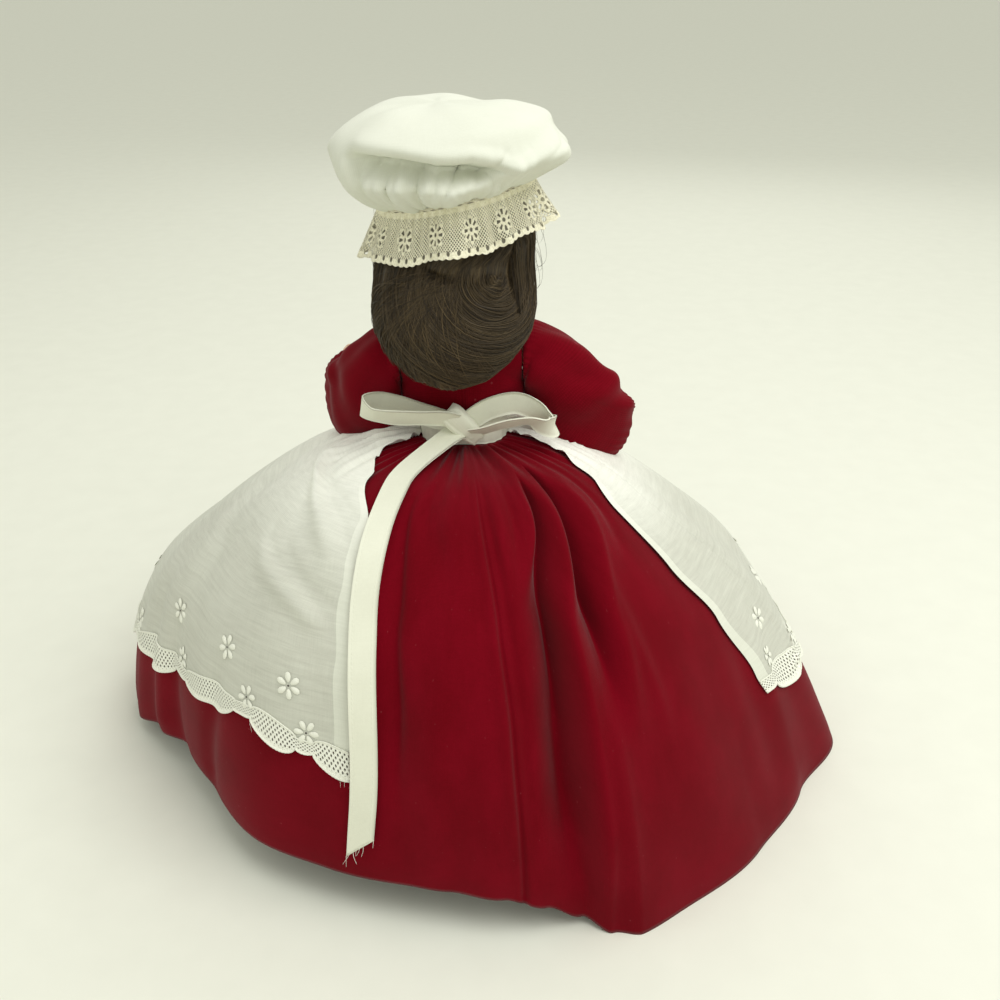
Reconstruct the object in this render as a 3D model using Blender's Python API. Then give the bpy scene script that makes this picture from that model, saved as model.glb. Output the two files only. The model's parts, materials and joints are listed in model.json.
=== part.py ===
"""Topsy turvy doll: two half dolls joined at the waist that share one reversible skirt.

The upper doll stands in view, seen in the reference from behind.  The lower doll is the same
doll upside down, hidden under the skirt.  Each doll has a hollow torso, a head with sleep eyes,
a wig with a rolled page-boy, a mob cap with a lace ruffle, and two arms in puffed sleeves.

Frame: metres, +Z up, origin on the table under the waist, faces towards -Y, backs towards +Y.
Angles of the skirt are measured from the centre back (+Y) towards the right hand (-X).
"""

import math

import bpy
from mathutils import Vector

MM = 0.001

# Fits between neighbours
TOUCH_GAP = 0.3 * MM
RUNNING_GAP = 0.5 * MM
CUT_OVERRUN = 2.0 * MM

# Where the doll stands
WAIST_HEIGHT = 140.0 * MM
DOLL_LEAN_DEG = 1.2

# Torso, from the waist to the top of the neck
TORSO_HEIGHT = 47.0 * MM
SHOULDER_HALF_WIDTH = 21.0 * MM
CHEST_HALF_DEPTH = 11.5 * MM
TORSO_WALL = 2.0 * MM
WAIST_SEAM_HALF = 1.5 * MM
TORSO_SECTION_SHARES = (
    (0.00, 0.62, 0.87),
    (0.24, 0.66, 0.90),
    (0.50, 0.86, 1.00),
    (0.68, 1.00, 1.00),
    (0.81, 0.95, 0.90),
    (0.90, 0.64, 0.76),
    (0.96, 0.36, 0.60),
    (1.00, 0.31, 0.565),
)
TORSO_SQUARENESS = 2.5
TORSO_ROUND_SHARE = 0.92
TORSO_SIDES = 16

# Waist plug that joins the two torsos
PLUG_REACH = 9.0 * MM
PLUG_BORE_RADIUS = 3.0 * MM

# Stringing
SHOULDER_HEIGHT = 32.0 * MM
ELASTIC_RADIUS = 1.1 * MM
ELASTIC_HOLE_RADIUS = 2.2 * MM
ELASTIC_BOW = 3.4 * MM
ELASTIC_STEPS = 16
ELASTIC_SIDES = 6
ROD_SIDES = 8
STRING_HOLE_SIDES = 10
NECK_BAR_RADIUS = 1.0 * MM
NECK_BAR_HALF_LENGTH = 6.0 * MM

# Head
HEAD_HALF_WIDTH = 22.0 * MM
HEAD_HALF_DEPTH = 24.0 * MM
HEAD_HALF_HEIGHT = 27.0 * MM
NECK_STAND = 2.0 * MM
HEAD_CENTRE_HEIGHT = TORSO_HEIGHT + NECK_STAND + HEAD_HALF_HEIGHT
HEAD_WALL = 2.2 * MM
HEAD_NECK_RADIUS = 6.4 * MM
HEAD_SIDES = 20
HEAD_RINGS = 11
HEAD_CROWN_SHARE = 0.965
JAW_TAPER_SHARE = 0.16
# Bumps of the face: angle round from the left hand, drop below the middle, and two spreads
NOSE_HEIGHT = 1.9 * MM
NOSE_BUMP = (-90.0, 0.20, 8.0, 0.10)
CHEEK_HEIGHT = 1.1 * MM
CHEEK_BUMPS = (
    (-115.0, 0.36, 18.0, 0.22),
    (-65.0, 0.36, 18.0, 0.22),
    (-90.0, 0.80, 16.0, 0.16),
)

# Sleep eyes
EYE_RADIUS = 4.6 * MM
EYE_SPACING_HALF = 8.8 * MM
EYE_HEIGHT = HEAD_CENTRE_HEIGHT - 2.0 * MM
EYE_SINK = 0.5 * MM
EYE_OPENING_HALF_WIDTH = 4.1 * MM
EYE_OPENING_HALF_HEIGHT = 3.0 * MM
EYE_OPENING_SIDES = 12
EYE_SIDES = 12
EYE_SEAT_SIDES = 14
EYE_RINGS = 6
EYE_POLE_SHARE = 0.12
ROCKER_WIRE_RADIUS = 0.8 * MM
ROCKER_STEM_RADIUS = 0.7 * MM
ROCKER_STEM_SIDES = 6
ROCKER_DROP = 11.0 * MM
ROCKER_BACK_DEG = 35.0
ROCKER_WEIGHT_RADIUS = 3.0 * MM
ROCKER_WEIGHT_HALF_LENGTH = 4.0 * MM
ROCKER_WEIGHT_SIDES = 10
EYE_CLOSED_DEG = 70.0

# Wig with its rolled page-boy at the nape
WIG_THICKNESS = 3.8 * MM
WIG_SEAT = 1.2 * MM
ROLL_DEPTH = 6.5 * MM
ROLL_HEIGHT = HEAD_CENTRE_HEIGHT - 30.0 * MM
ROLL_SPREAD = 19.0 * MM
WIG_NECK_CLEARANCE = 18.6 * MM
WIG_EDGE_THIN_SHARE = 0.55
WIG_EDGE_ROUND_SHARE = 0.16
WIG_EDGE_SHARES = (
    (0.0, 0.262),
    (26.0, 0.300),
    (42.0, 0.400),
    (60.0, 0.500),
    (90.0, 0.545),
    (120.0, 0.670),
    (145.0, 0.790),
    (180.0, 0.845),
)
WIG_ROW_SHARES = (0.996, 0.93, 0.80, 0.63, 0.45, 0.29, 0.16, 0.06, 0.0)
WIG_SIDES = 22

# Mob cap
CAP_BAND_HEIGHT = HEAD_CENTRE_HEIGHT + 16.0 * MM
CAP_BAND_RADIUS = 27.0 * MM
CAP_TILT_DEG = 10.0
CAP_WALL = 1.0 * MM
CAP_CROWN_RADIUS = 40.5 * MM
CAP_CROWN_HEIGHT = 31.0 * MM
CAP_PROFILE_SHARES = (
    (0.675, 0.03),
    (0.83, 0.14),
    (0.97, 0.30),
    (1.00, 0.52),
    (0.90, 0.76),
    (0.62, 0.94),
    (0.10, 1.00),
)
CAP_GATHER_DEPTH = 1.6 * MM
CAP_GATHERS = 12
# How far the crown flops back to level, and its lumps: each is a bell about an angle from the
# left hand and a share of the crown's height, with two half spreads and a depth
CAP_LEVEL_DEG = 6.0
CAP_LUMPS = (
    (92.0, 0.34, 40.0, 0.20, -5.0 * MM),
    (98.0, 0.68, 52.0, 0.13, 1.4 * MM),
    (8.0, 0.54, 17.0, 0.17, 1.6 * MM),
    (170.0, 0.44, 15.0, 0.17, 2.0 * MM),
    (205.0, 0.80, 26.0, 0.16, 2.0 * MM),
)
CAP_PLAIN_SHARE = 0.76
CAP_LEVEL_SHARE = 0.5
CAP_LEAST_SHARE = 0.5
CAP_SIDES = 24
CAP_ELASTIC_RADIUS = 0.6 * MM
CAP_ELASTIC_STEPS = 20
CAP_ELASTIC_SIDES = 4
LACE_DROP = 13.0 * MM
LACE_FLARE = 7.0 * MM
LACE_WALL = 0.6 * MM
LACE_FLUTE_DEPTH = 1.7 * MM
LACE_FLUTES = 12
LACE_SIDES = 36
LACE_ROW_SHARES = (0.0, 0.45, 1.0)

# Arms and sleeves; the route goes out from the shoulder to the finger tips
ARM_SEAT = 21.6 * MM
ARM_REACH = 33.0 * MM
ARM_DROP = 31.0 * MM
ARM_FORWARD = 15.0 * MM
ARM_ROUTE_SHARES = (
    (0.00, 0.00, 0.00),
    (0.12, 0.00, -0.03),
    (0.30, 0.03, -0.20),
    (0.55, -0.12, -0.58),
    (0.78, -0.45, -0.84),
    (1.00, -1.00, -1.00),
    (1.06, -1.30, -1.04),
    (1.08, -1.72, -1.06),
    (1.08, -1.98, -1.06),
)
ARM_WIDTH_SHARES = (0.90, 1.00, 1.00, 0.86, 0.76, 0.60, 0.74, 0.62, 0.20)
ARM_FLATNESS_SHARES = (1.0, 1.0, 1.0, 1.0, 1.0, 0.9, 0.62, 0.55, 0.5)
ARM_RADIUS = 6.2 * MM
ARM_SIDES = 10
SLEEVE_WALL = 0.9 * MM
SLEEVE_HEAD_RADIUS = 10.0 * MM
SLEEVE_PUFF_RADIUS = 11.4 * MM
SLEEVE_CUFF_RADIUS = 5.1 * MM
SLEEVE_ROW_SHARES = (0.0, 0.14, 0.34, 0.58, 0.82, 1.0)
SLEEVE_PUFF_SHARES = (0.0, 0.78, 1.0, 0.80, 0.45, 0.0)
SLEEVE_SIDES = 12
SLEEVE_PUFF_START_SHARE = 0.35
SLEEVE_LEAN_SHARE = 0.4
SLEEVE_END_SHARE = 0.62
UPPER_RIGHT_SWING_DEG = 0.0
UPPER_LEFT_SWING_DEG = 32.0
UPPER_RIGHT_SPREAD_SHARE = 1.0
UPPER_LEFT_SPREAD_SHARE = 0.72
LOWER_SWING_DEG = 85.0
LOWER_SPREAD_SHARE = 0.8

# Bodice
BODICE_WALL = 1.0 * MM
BODICE_ARMHOLE_RADIUS = 8.4 * MM
BODICE_ARMHOLE_SIDES = 14
BODICE_NECK_RADIUS = 9.4 * MM
BODICE_NECK_DEPTH = 9.0 * MM
BODICE_NECK_HEIGHT = 43.4 * MM
BODICE_SHOULDER_SHARE = 0.78
BODICE_SIDES = 18

# Skirts
SKIRT_RADIUS = 150.0 * MM
WAIST_TUCK = 1.0 * MM
SKIRT_HEIGHT = WAIST_HEIGHT - WAIST_TUCK
SKIRT_WALL = 1.2 * MM
WAIST_EASE = 1.2 * MM
HEM_WALL = 2.6 * MM
LINING_WALL = 0.9 * MM
LINING_GAP = 0.5 * MM
SKIRT_PROFILE_SHARES = (
    (0.00, 0.115, 1.000),
    (0.10, 0.220, 1.000),
    (0.20, 0.335, 0.985),
    (0.32, 0.465, 0.925),
    (0.46, 0.615, 0.800),
    (0.62, 0.745, 0.645),
    (0.78, 0.855, 0.440),
    (0.88, 0.925, 0.265),
    (0.97, 0.985, 0.065),
    (1.00, 1.000, 0.000),
)
# The hem by angle: its reach and its lift off the table, as shares of the two lengths
HEM_LIFT = 17.0 * MM
HEM_REACH_POWER = 1.3
HEM_LIFT_POWER = 3.0
HEM_SHARES = (
    (-180.0, 0.920, 0.00),
    (-150.0, 0.945, 0.00),
    (-122.0, 0.955, 0.00),
    (-106.0, 1.000, 0.05),
    (-95.0, 1.015, 0.15),
    (-87.0, 0.965, 0.40),
    (-78.0, 0.875, 0.85),
    (-70.0, 0.805, 1.00),
    (-56.0, 0.785, 1.00),
    (-40.0, 0.800, 1.00),
    (-24.0, 0.780, 1.00),
    (-10.0, 0.775, 1.00),
    (-2.0, 0.785, 1.00),
    (7.0, 0.810, 0.95),
    (14.0, 0.825, 0.70),
    (20.0, 0.830, 0.25),
    (24.0, 0.880, 0.00),
    (28.0, 0.913, 0.00),
    (36.0, 0.908, 0.00),
    (54.0, 0.932, 0.00),
    (70.0, 0.967, 0.00),
    (84.0, 1.062, 0.00),
    (92.0, 1.045, 0.00),
    (104.0, 0.995, 0.00),
    (124.0, 0.945, 0.00),
    (152.0, 0.935, 0.00),
    (180.0, 0.920, 0.00),
)
# How far the side and front sink below the back near the waist, and swell lower down.  Each
# is a bump along the slant with a peak of 1: a power of the share, one of the rest, a scale
DOME_BUMP = (2.0, 3.0, 28.9)
SWELL_BUMP = (2.0, 1.0, 6.75)
DOME_DROP = 12.0 * MM
SIDE_SWELL = 8.0 * MM
SIDE_SHARES = (
    (-180.0, 0.80, 0.20),
    (-135.0, 1.00, 0.40),
    (-95.0, 1.00, 1.00),
    (-60.0, 0.40, 0.80),
    (-35.0, 0.00, 0.20),
    (0.0, 0.00, 0.00),
    (40.0, 0.00, 0.00),
    (70.0, 0.60, -0.30),
    (88.0, 0.80, -0.75),
    (105.0, 1.00, -0.15),
    (140.0, 1.00, 0.30),
    (180.0, 0.80, 0.20),
)
# Regular folds round the sides and the front
FOLD_DEPTH = 3.5 * MM
FOLD_POWER = 1.2
FOLD_SHARES = (
    (-180.0, 1.0),
    (-163.0, -1.0),
    (-147.0, 1.0),
    (-128.0, -0.8),
    (-110.0, 0.8),
    (-96.0, 0.0),
    (92.0, 0.0),
    (106.0, 0.9),
    (124.0, -0.8),
    (143.0, 1.0),
    (162.0, -1.0),
    (180.0, 1.0),
)
# Single folds of the back: angle at each quarter of the slant, half width, depth, and the
# shares of the slant at which the fold starts, is full, still is, and ends
FOLD_QUARTERS = (0.25, 0.50, 0.75, 1.00)
BACK_FOLDS = (
    ((29.0, 18.5, 17.8, 18.0), 4.0, -6.5 * MM, (0.12, 0.34, 0.82, 1.00)),
    ((32.0, 23.8, 24.3, 24.5), 3.6, 4.5 * MM, (0.12, 0.30, 0.85, 1.00)),
    ((36.0, 28.6, 27.5, 27.5), 3.4, -5.5 * MM, (0.12, 0.30, 0.50, 0.76)),
    ((44.0, 33.5, 32.0, 32.0), 5.0, 2.5 * MM, (0.12, 0.26, 0.50, 0.80)),
    ((-9.0, -1.0, 0.0, 0.0), 4.0, -2.5 * MM, (0.06, 0.20, 0.32, 0.50)),
    ((-3.0, 0.0, -4.0, -6.0), 5.0, 2.0 * MM, (0.10, 0.26, 0.70, 1.00)),
    ((-18.0, -15.0, -12.5, -12.0), 4.5, -2.5 * MM, (0.20, 0.40, 0.75, 1.00)),
    ((44.0, 47.0, 51.5, 54.0), 7.0, -2.0 * MM, (0.45, 0.75, 0.86, 1.00)),
)
SKIRT_COLUMNS = 60
SLOPE_STEP = 1e-3

# Apron, tied at the back: its edges by share of the slant, right and left of the centre back
APRON_WALL = 0.8 * MM
APRON_LIFT = 0.8 * MM
APRON_RIGHT_COLUMN = 9
APRON_LEFT_COLUMN = 56
APRON_EDGE_COLUMNS = 10
APRON_PANEL_ROWS = 7
APRON_BORDER_END_SHARE = 0.86
APRON_EDGE_SHARES = (
    (0.00, 84.0, -78.0),
    (0.10, 71.0, -60.0),
    (0.20, 60.0, -43.0),
    (0.32, 54.0, -30.8),
    (0.46, 56.0, -26.2),
    (0.62, 61.0, -22.6),
    (0.78, 65.5, -20.8),
    (0.86, 67.0, -20.6),
)
WAISTBAND_WIDTH = 9.5 * MM
WAISTBAND_WALL = 1.0 * MM
WAISTBAND_SIDES = 20

# Bow and tie
TIE_WIDTH = 9.5 * MM
TIE_WALL = 0.9 * MM
KNOT_HALF_WIDTH = 4.2 * MM
KNOT_HALF_HEIGHT = 6.0 * MM
KNOT_HALF_DEPTH = 3.4 * MM
KNOT_HEIGHT = 8.5 * MM
KNOT_SECTION_SHARES = ((-1.0, 0.55), (-0.6, 0.92), (0.0, 1.0), (0.6, 0.92), (1.0, 0.55))
KNOT_FLAT_SHARE = 0.6
KNOT_SQUARENESS = 2.6
KNOT_SIDES = 12
LEFT_LOOP_LENGTH = 35.0 * MM
RIGHT_LOOP_LENGTH = 30.0 * MM
LOOP_HALF_DEPTH = 4.4 * MM
LOOP_TILT_SHARE = 0.35
LOOP_POINTS = 14
LOOP_NARROW_SHARE = 0.45
TAIL_SHARES = (
    (0.10, -39.0),
    (0.20, -30.5),
    (0.32, -25.6),
    (0.46, -22.0),
    (0.62, -18.8),
    (0.78, -17.2),
    (0.88, -16.8),
    (0.95, -17.6),
)
TAIL_POINT_SHARES = (-1.0, -0.33, 0.33, 1.0)
TAIL_START_INWARD = 12.0 * MM
TAIL_START_FORWARD = 6.0 * MM
TAIL_START_RISE = 1.2 * MM
TAIL_LIFT = 0.7 * MM

UPPER = "upper"
LOWER = "lower"


def clear_scene():
    for old_object in list(bpy.data.objects):
        bpy.data.objects.remove(old_object, do_unlink=True)


def make_material(name, colour, roughness, metallic=0.0):
    material = bpy.data.materials.new(name)
    material.use_nodes = True
    shader = material.node_tree.nodes["Principled BSDF"]
    shader.inputs["Base Color"].default_value = (*colour, 1.0)
    shader.inputs["Roughness"].default_value = roughness
    shader.inputs["Metallic"].default_value = metallic
    material.diffuse_color = (*colour, 1.0)
    return material


def add_object(name, points, faces, material, parent=None, smooth=True):
    mesh = bpy.data.meshes.new(name)
    mesh.from_pydata([tuple(point) for point in points], [], faces)
    mesh.update()
    if smooth:
        mesh.shade_smooth()
        mesh.set_sharp_from_angle(angle=math.radians(40.0))
    mesh.materials.append(material)
    made = bpy.data.objects.new(name, mesh)
    bpy.context.scene.collection.objects.link(made)
    made.parent = parent
    return made


def add_empty(name, location, parent=None, rotation=(0.0, 0.0, 0.0)):
    empty = bpy.data.objects.new(name, None)
    empty.location = location
    empty.rotation_euler = rotation
    bpy.context.scene.collection.objects.link(empty)
    empty.parent = parent
    return empty


def add_cut(target, cutter):
    cutter.hide_render = True
    cutter.display_type = "WIRE"
    modifier = target.modifiers.new("cut_" + cutter.name, "BOOLEAN")
    modifier.operation = "DIFFERENCE"
    modifier.object = cutter


def read_table(table, value, column=1):
    """Smooth steps through a table of rows, each a place followed by its shares."""
    if value <= table[0][0]:
        return table[0][column]
    for low, high in zip(table, table[1:]):
        if value <= high[0]:
            step = (value - low[0]) / (high[0] - low[0])
            smooth = step * step * (3.0 - 2.0 * step)
            return low[column] + (high[column] - low[column]) * smooth
    return table[-1][column]


def grid_faces(rows, columns, closed, offset=0, flipped=False):
    faces = []
    wraps = columns if closed else columns - 1
    for row in range(rows - 1):
        for column in range(wraps):
            after = (column + 1) % columns
            low = offset + row * columns
            high = low + columns
            face = (low + column, low + after, high + after, high + column)
            faces.append((face[0], face[3], face[2], face[1]) if flipped else face)
    return faces


def shell_object(name, outer, inner, material, parent=None, closed=True, capped=False):
    """A wall between two grids of points, rows by columns, with rims where they end.

    Rows run so that the outer grid's faces point out with (row, column) order as given:
    columns anticlockwise seen from the side that the first row lies away from.
    """
    rows = len(outer)
    columns = len(outer[0])
    points = [point for row in outer for point in row] + [point for row in inner for point in row]
    second = rows * columns
    faces = grid_faces(rows, columns, closed)
    faces += grid_faces(rows, columns, closed, second, flipped=True)
    wraps = columns if closed else columns - 1
    last = (rows - 1) * columns
    for column in range(wraps):
        after = (column + 1) % columns
        if not capped:
            faces.append((column, second + column, second + after, after))
        faces.append((last + column, last + after, second + last + after, second + last + column))
    if capped:
        faces.append(tuple(range(columns))[::-1])
        faces.append(tuple(second + column for column in range(columns)))
    if not closed:
        end = columns - 1
        for row in range(rows - 1):
            low = row * columns
            high = low + columns
            faces.append((low, high, second + high, second + low))
            faces.append((low + end, second + low + end, second + high + end, high + end))
    return add_object(name, points, faces, material, parent)


def loft_object(name, rings, material, parent=None):
    """A closed solid through a list of rings, each end closed by one flat or domed face."""
    rows = len(rings)
    columns = len(rings[0])
    points = [point for ring in rings for point in ring]
    faces = grid_faces(rows, columns, True)
    faces.append(tuple(range(columns))[::-1])
    faces.append(tuple((rows - 1) * columns + column for column in range(columns)))
    return add_object(name, points, faces, material, parent)


def oval_ring(half_width, half_depth, height, sides, squareness=2.0):
    ring = []
    for side in range(sides):
        turn = 2.0 * math.pi * side / sides
        power = 2.0 / squareness
        x = half_width * math.copysign(abs(math.cos(turn)) ** power, math.cos(turn))
        y = half_depth * math.copysign(abs(math.sin(turn)) ** power, math.sin(turn))
        ring.append(Vector((x, y, height)))
    return ring


def rod_object(name, start, end, radius, sides, material, parent=None):
    start = Vector(start)
    end = Vector(end)
    turn = (end - start).to_track_quat("Z", "Y").to_matrix()
    flat = oval_ring(radius, radius, 0.0, sides)
    rings = [[start + turn @ point for point in flat], [end + turn @ point for point in flat]]
    return loft_object(name, rings, material, parent)


def ball_rings(radius, sides, rings):
    """Rings of a ball whose poles lie on the X axis, so that it turns true about X."""
    made = []
    for ring in range(rings + 1):
        polar = math.pi * (EYE_POLE_SHARE + (1.0 - 2.0 * EYE_POLE_SHARE) * ring / rings)
        flat = oval_ring(radius * math.sin(polar), radius * math.sin(polar), 0.0, sides)
        made.append([Vector((-radius * math.cos(polar), point.x, point.y)) for point in flat])
    return made


def torso_sections(inset, lowest, highest):
    sections = []
    for height_share, width_share, depth_share in TORSO_SECTION_SHARES:
        height = lowest + (highest - lowest) * height_share
        half_width = SHOULDER_HALF_WIDTH * width_share - inset
        half_depth = CHEST_HALF_DEPTH * depth_share - inset
        squareness = 2.0 if height_share > TORSO_ROUND_SHARE else TORSO_SQUARENESS
        sections.append(oval_ring(half_width, half_depth, height, TORSO_SIDES, squareness))
    return sections


def waist_half_width():
    return SHOULDER_HALF_WIDTH * TORSO_SECTION_SHARES[0][1]


def waist_half_depth():
    return CHEST_HALF_DEPTH * TORSO_SECTION_SHARES[0][2]


def build_torso(which, frame, material):
    outer = torso_sections(0.0, WAIST_SEAM_HALF, TORSO_HEIGHT)
    inner = torso_sections(TORSO_WALL, WAIST_SEAM_HALF, TORSO_HEIGHT)
    torso = shell_object(which + "_torso", outer, inner, material, frame)
    reach = SHOULDER_HALF_WIDTH + CUT_OVERRUN
    hole = rod_object(which + "_string_hole", (-reach, 0.0, SHOULDER_HEIGHT),
                      (reach, 0.0, SHOULDER_HEIGHT), ELASTIC_HOLE_RADIUS,
                      STRING_HOLE_SIDES, material, frame)
    add_cut(torso, hole)


def build_waist_plug(core, material):
    """A turned dowel with a flange: it plugs both hollow torsos and the elastic runs through."""
    plug_width = waist_half_width() - TORSO_WALL - TOUCH_GAP
    plug_depth = waist_half_depth() - TORSO_WALL - TOUCH_GAP
    flange = WAIST_SEAM_HALF - TOUCH_GAP
    outer = [
        oval_ring(plug_width, plug_depth, -PLUG_REACH, TORSO_SIDES, TORSO_SQUARENESS),
        oval_ring(plug_width, plug_depth, -flange, TORSO_SIDES, TORSO_SQUARENESS),
        oval_ring(waist_half_width(), waist_half_depth(), -flange, TORSO_SIDES, TORSO_SQUARENESS),
        oval_ring(waist_half_width(), waist_half_depth(), flange, TORSO_SIDES, TORSO_SQUARENESS),
        oval_ring(plug_width, plug_depth, flange, TORSO_SIDES, TORSO_SQUARENESS),
        oval_ring(plug_width, plug_depth, PLUG_REACH, TORSO_SIDES, TORSO_SQUARENESS),
    ]
    bore = [oval_ring(PLUG_BORE_RADIUS, PLUG_BORE_RADIUS, ring[0].z, TORSO_SIDES)
            for ring in outer]
    bore[2] = [point + Vector((0.0, 0.0, flange / 3.0)) for point in bore[2]]
    bore[3] = [point - Vector((0.0, 0.0, flange / 3.0)) for point in bore[3]]
    shell_object("waist_plug", outer, bore, material, core)


def build_neck_elastic(core, material):
    """One elastic from head to head; it bows back past the two arm elastics."""
    top = neck_bar_height() - NECK_BAR_RADIUS - TOUCH_GAP
    rings = []
    for step in range(ELASTIC_STEPS + 1):
        share = step / ELASTIC_STEPS
        height = top * (2.0 * share - 1.0)
        bow = ELASTIC_BOW * (1.0 - math.cos(4.0 * math.pi * share)) / 2.0
        limit = min(1.0, abs(height) / SHOULDER_HEIGHT)
        ring = oval_ring(ELASTIC_RADIUS, ELASTIC_RADIUS, height, ELASTIC_SIDES)
        rings.append([point + Vector((0.0, bow * limit, 0.0)) for point in ring])
    loft_object("neck_elastic", rings, material, core)


def build_arm_elastic(which, frame, material):
    reach = ARM_SEAT - TOUCH_GAP
    rod_object(which + "_arm_elastic", (-reach, 0.0, SHOULDER_HEIGHT),
               (reach, 0.0, SHOULDER_HEIGHT), ELASTIC_RADIUS, ROD_SIDES, material, frame)


def head_bump(turn, height_share, side_deg, drop_share, spread_deg, spread_share):
    side = (math.degrees(turn) - side_deg + 180.0) % 360.0 - 180.0
    rise = (height_share + drop_share) / spread_share
    return math.exp(-(side / spread_deg) ** 2 - rise ** 2)


def head_point(turn, polar, inset):
    """Turn runs round Z from +X, polar from the neck (0) to the crown (pi)."""
    height_share = -math.cos(polar)
    low = max(0.0, -height_share)
    taper = 1.0 - JAW_TAPER_SHARE * low * low
    swell = 0.0
    if not inset:
        swell = NOSE_HEIGHT * head_bump(turn, height_share, *NOSE_BUMP)
        for cheek in CHEEK_BUMPS:
            swell += CHEEK_HEIGHT * head_bump(turn, height_share, *cheek)
    wide = (HEAD_HALF_WIDTH - inset) * taper + swell
    deep = (HEAD_HALF_DEPTH - inset) * taper + swell
    tall = HEAD_HALF_HEIGHT - inset
    x = wide * math.sin(polar) * math.cos(turn)
    y = deep * math.sin(polar) * math.sin(turn)
    return Vector((x, y, HEAD_CENTRE_HEIGHT + tall * height_share))


def head_floor():
    return TORSO_HEIGHT + TOUCH_GAP


def neck_bar_height():
    """The bar lies across the neck opening, on the inside of the head's floor."""
    floor_reach = (HEAD_HALF_WIDTH - HEAD_WALL) * (1.0 - JAW_TAPER_SHARE)
    slope = math.sqrt(1.0 - (NECK_BAR_HALF_LENGTH / floor_reach) ** 2)
    floor = HEAD_CENTRE_HEIGHT - (HEAD_HALF_HEIGHT - HEAD_WALL) * slope
    return floor + NECK_BAR_RADIUS + RUNNING_GAP


def head_grid(inset, neck_radius, sides, rings):
    start = math.asin(min(0.9, (neck_radius + HEAD_WALL) / HEAD_HALF_WIDTH))
    grid = [oval_ring(neck_radius, neck_radius, head_floor(), sides)]
    for ring in range(rings):
        polar = start + (math.pi * HEAD_CROWN_SHARE - start) * ring / (rings - 1)
        grid.append([head_point(2.0 * math.pi * side / sides, polar, inset)
                     for side in range(sides)])
    return grid


def eye_centre(side):
    share = math.sqrt(1.0 - (EYE_SPACING_HALF / HEAD_HALF_WIDTH) ** 2)
    depth = HEAD_HALF_DEPTH * share - EYE_RADIUS - EYE_SINK
    return Vector((side * EYE_SPACING_HALF, -depth, EYE_HEIGHT))


def build_head(which, neck, material):
    outer = head_grid(0.0, HEAD_NECK_RADIUS, HEAD_SIDES, HEAD_RINGS)
    inner = head_grid(HEAD_WALL, HEAD_NECK_RADIUS - HEAD_WALL, HEAD_SIDES, HEAD_RINGS)
    flipped_outer = outer[::-1]
    flipped_inner = inner[::-1]
    outer = [ring[::-1] for ring in flipped_outer]
    inner = [ring[::-1] for ring in flipped_inner]
    head = shell_object(which + "_head", outer, inner, material, neck, capped=True)
    for side, word in ((1.0, "left"), (-1.0, "right")):
        centre = eye_centre(side)
        seat = [[point + centre for point in ring]
                for ring in ball_rings(EYE_RADIUS + RUNNING_GAP, EYE_SEAT_SIDES, EYE_RINGS)]
        seat_cut = loft_object(which + "_eye_seat_" + word, seat, material, neck)
        add_cut(head, seat_cut)
        front = -HEAD_HALF_DEPTH - CUT_OVERRUN
        flat = oval_ring(EYE_OPENING_HALF_WIDTH, EYE_OPENING_HALF_HEIGHT, 0.0,
                         EYE_OPENING_SIDES)
        window = [[Vector((point.x + centre.x, place, point.y + centre.z)) for point in flat]
                  for place in (centre.y, front)]
        window_cut = loft_object(which + "_eye_window_" + word, window, material, neck)
        add_cut(head, window_cut)


def build_eyes(which, pivot, materials):
    """Two balls and their weighted wire rocker, on one pivot through both eye centres."""
    for side, word in ((1.0, "left"), (-1.0, "right")):
        shift = Vector((side * EYE_SPACING_HALF, 0.0, 0.0))
        rings = [[point + shift for point in ring]
                 for ring in ball_rings(EYE_RADIUS, EYE_SIDES, EYE_RINGS)]
        loft_object(which + "_eye_" + word, rings, materials["eye"], pivot)
    pole = EYE_RADIUS * math.cos(math.pi * EYE_POLE_SHARE)
    reach = EYE_SPACING_HALF - pole - TOUCH_GAP
    rocker = rod_object(which + "_eye_rocker", (-reach, 0.0, 0.0), (reach, 0.0, 0.0),
                        ROCKER_WIRE_RADIUS, ROD_SIDES, materials["metal"], pivot)
    stem_top = ROCKER_WIRE_RADIUS / 4.0
    lever = math.radians(ROCKER_BACK_DEG)
    low = Vector((0.0, ROCKER_DROP * math.sin(lever), -ROCKER_DROP * math.cos(lever)))
    stem = rod_object(which + "_rocker_stem", (0.0, 0.0, stem_top), low, ROCKER_STEM_RADIUS,
                      ROCKER_STEM_SIDES, materials["metal"], pivot)
    half = Vector((ROCKER_WEIGHT_HALF_LENGTH, 0.0, 0.0))
    weight = rod_object(which + "_rocker_weight", low - half, low + half,
                        ROCKER_WEIGHT_RADIUS, ROCKER_WEIGHT_SIDES, materials["metal"],
                        pivot)
    for piece in (stem, weight):
        piece.hide_render = True
        piece.display_type = "WIRE"
        union = rocker.modifiers.new("join_" + piece.name, "BOOLEAN")
        union.operation = "UNION"
        union.object = piece


def build_neck_bar(which, neck, material):
    height = neck_bar_height()
    rod_object(which + "_neck_bar", (-NECK_BAR_HALF_LENGTH, 0.0, height),
               (NECK_BAR_HALF_LENGTH, 0.0, height), NECK_BAR_RADIUS, ROD_SIDES, material, neck)


def wig_edge_height(turn):
    from_back = abs((math.degrees(turn) - 90.0 + 180.0) % 360.0 - 180.0)
    crown = HEAD_CENTRE_HEIGHT + HEAD_HALF_HEIGHT + WIG_SEAT + WIG_THICKNESS
    return crown * read_table(WIG_EDGE_SHARES, from_back)


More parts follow.
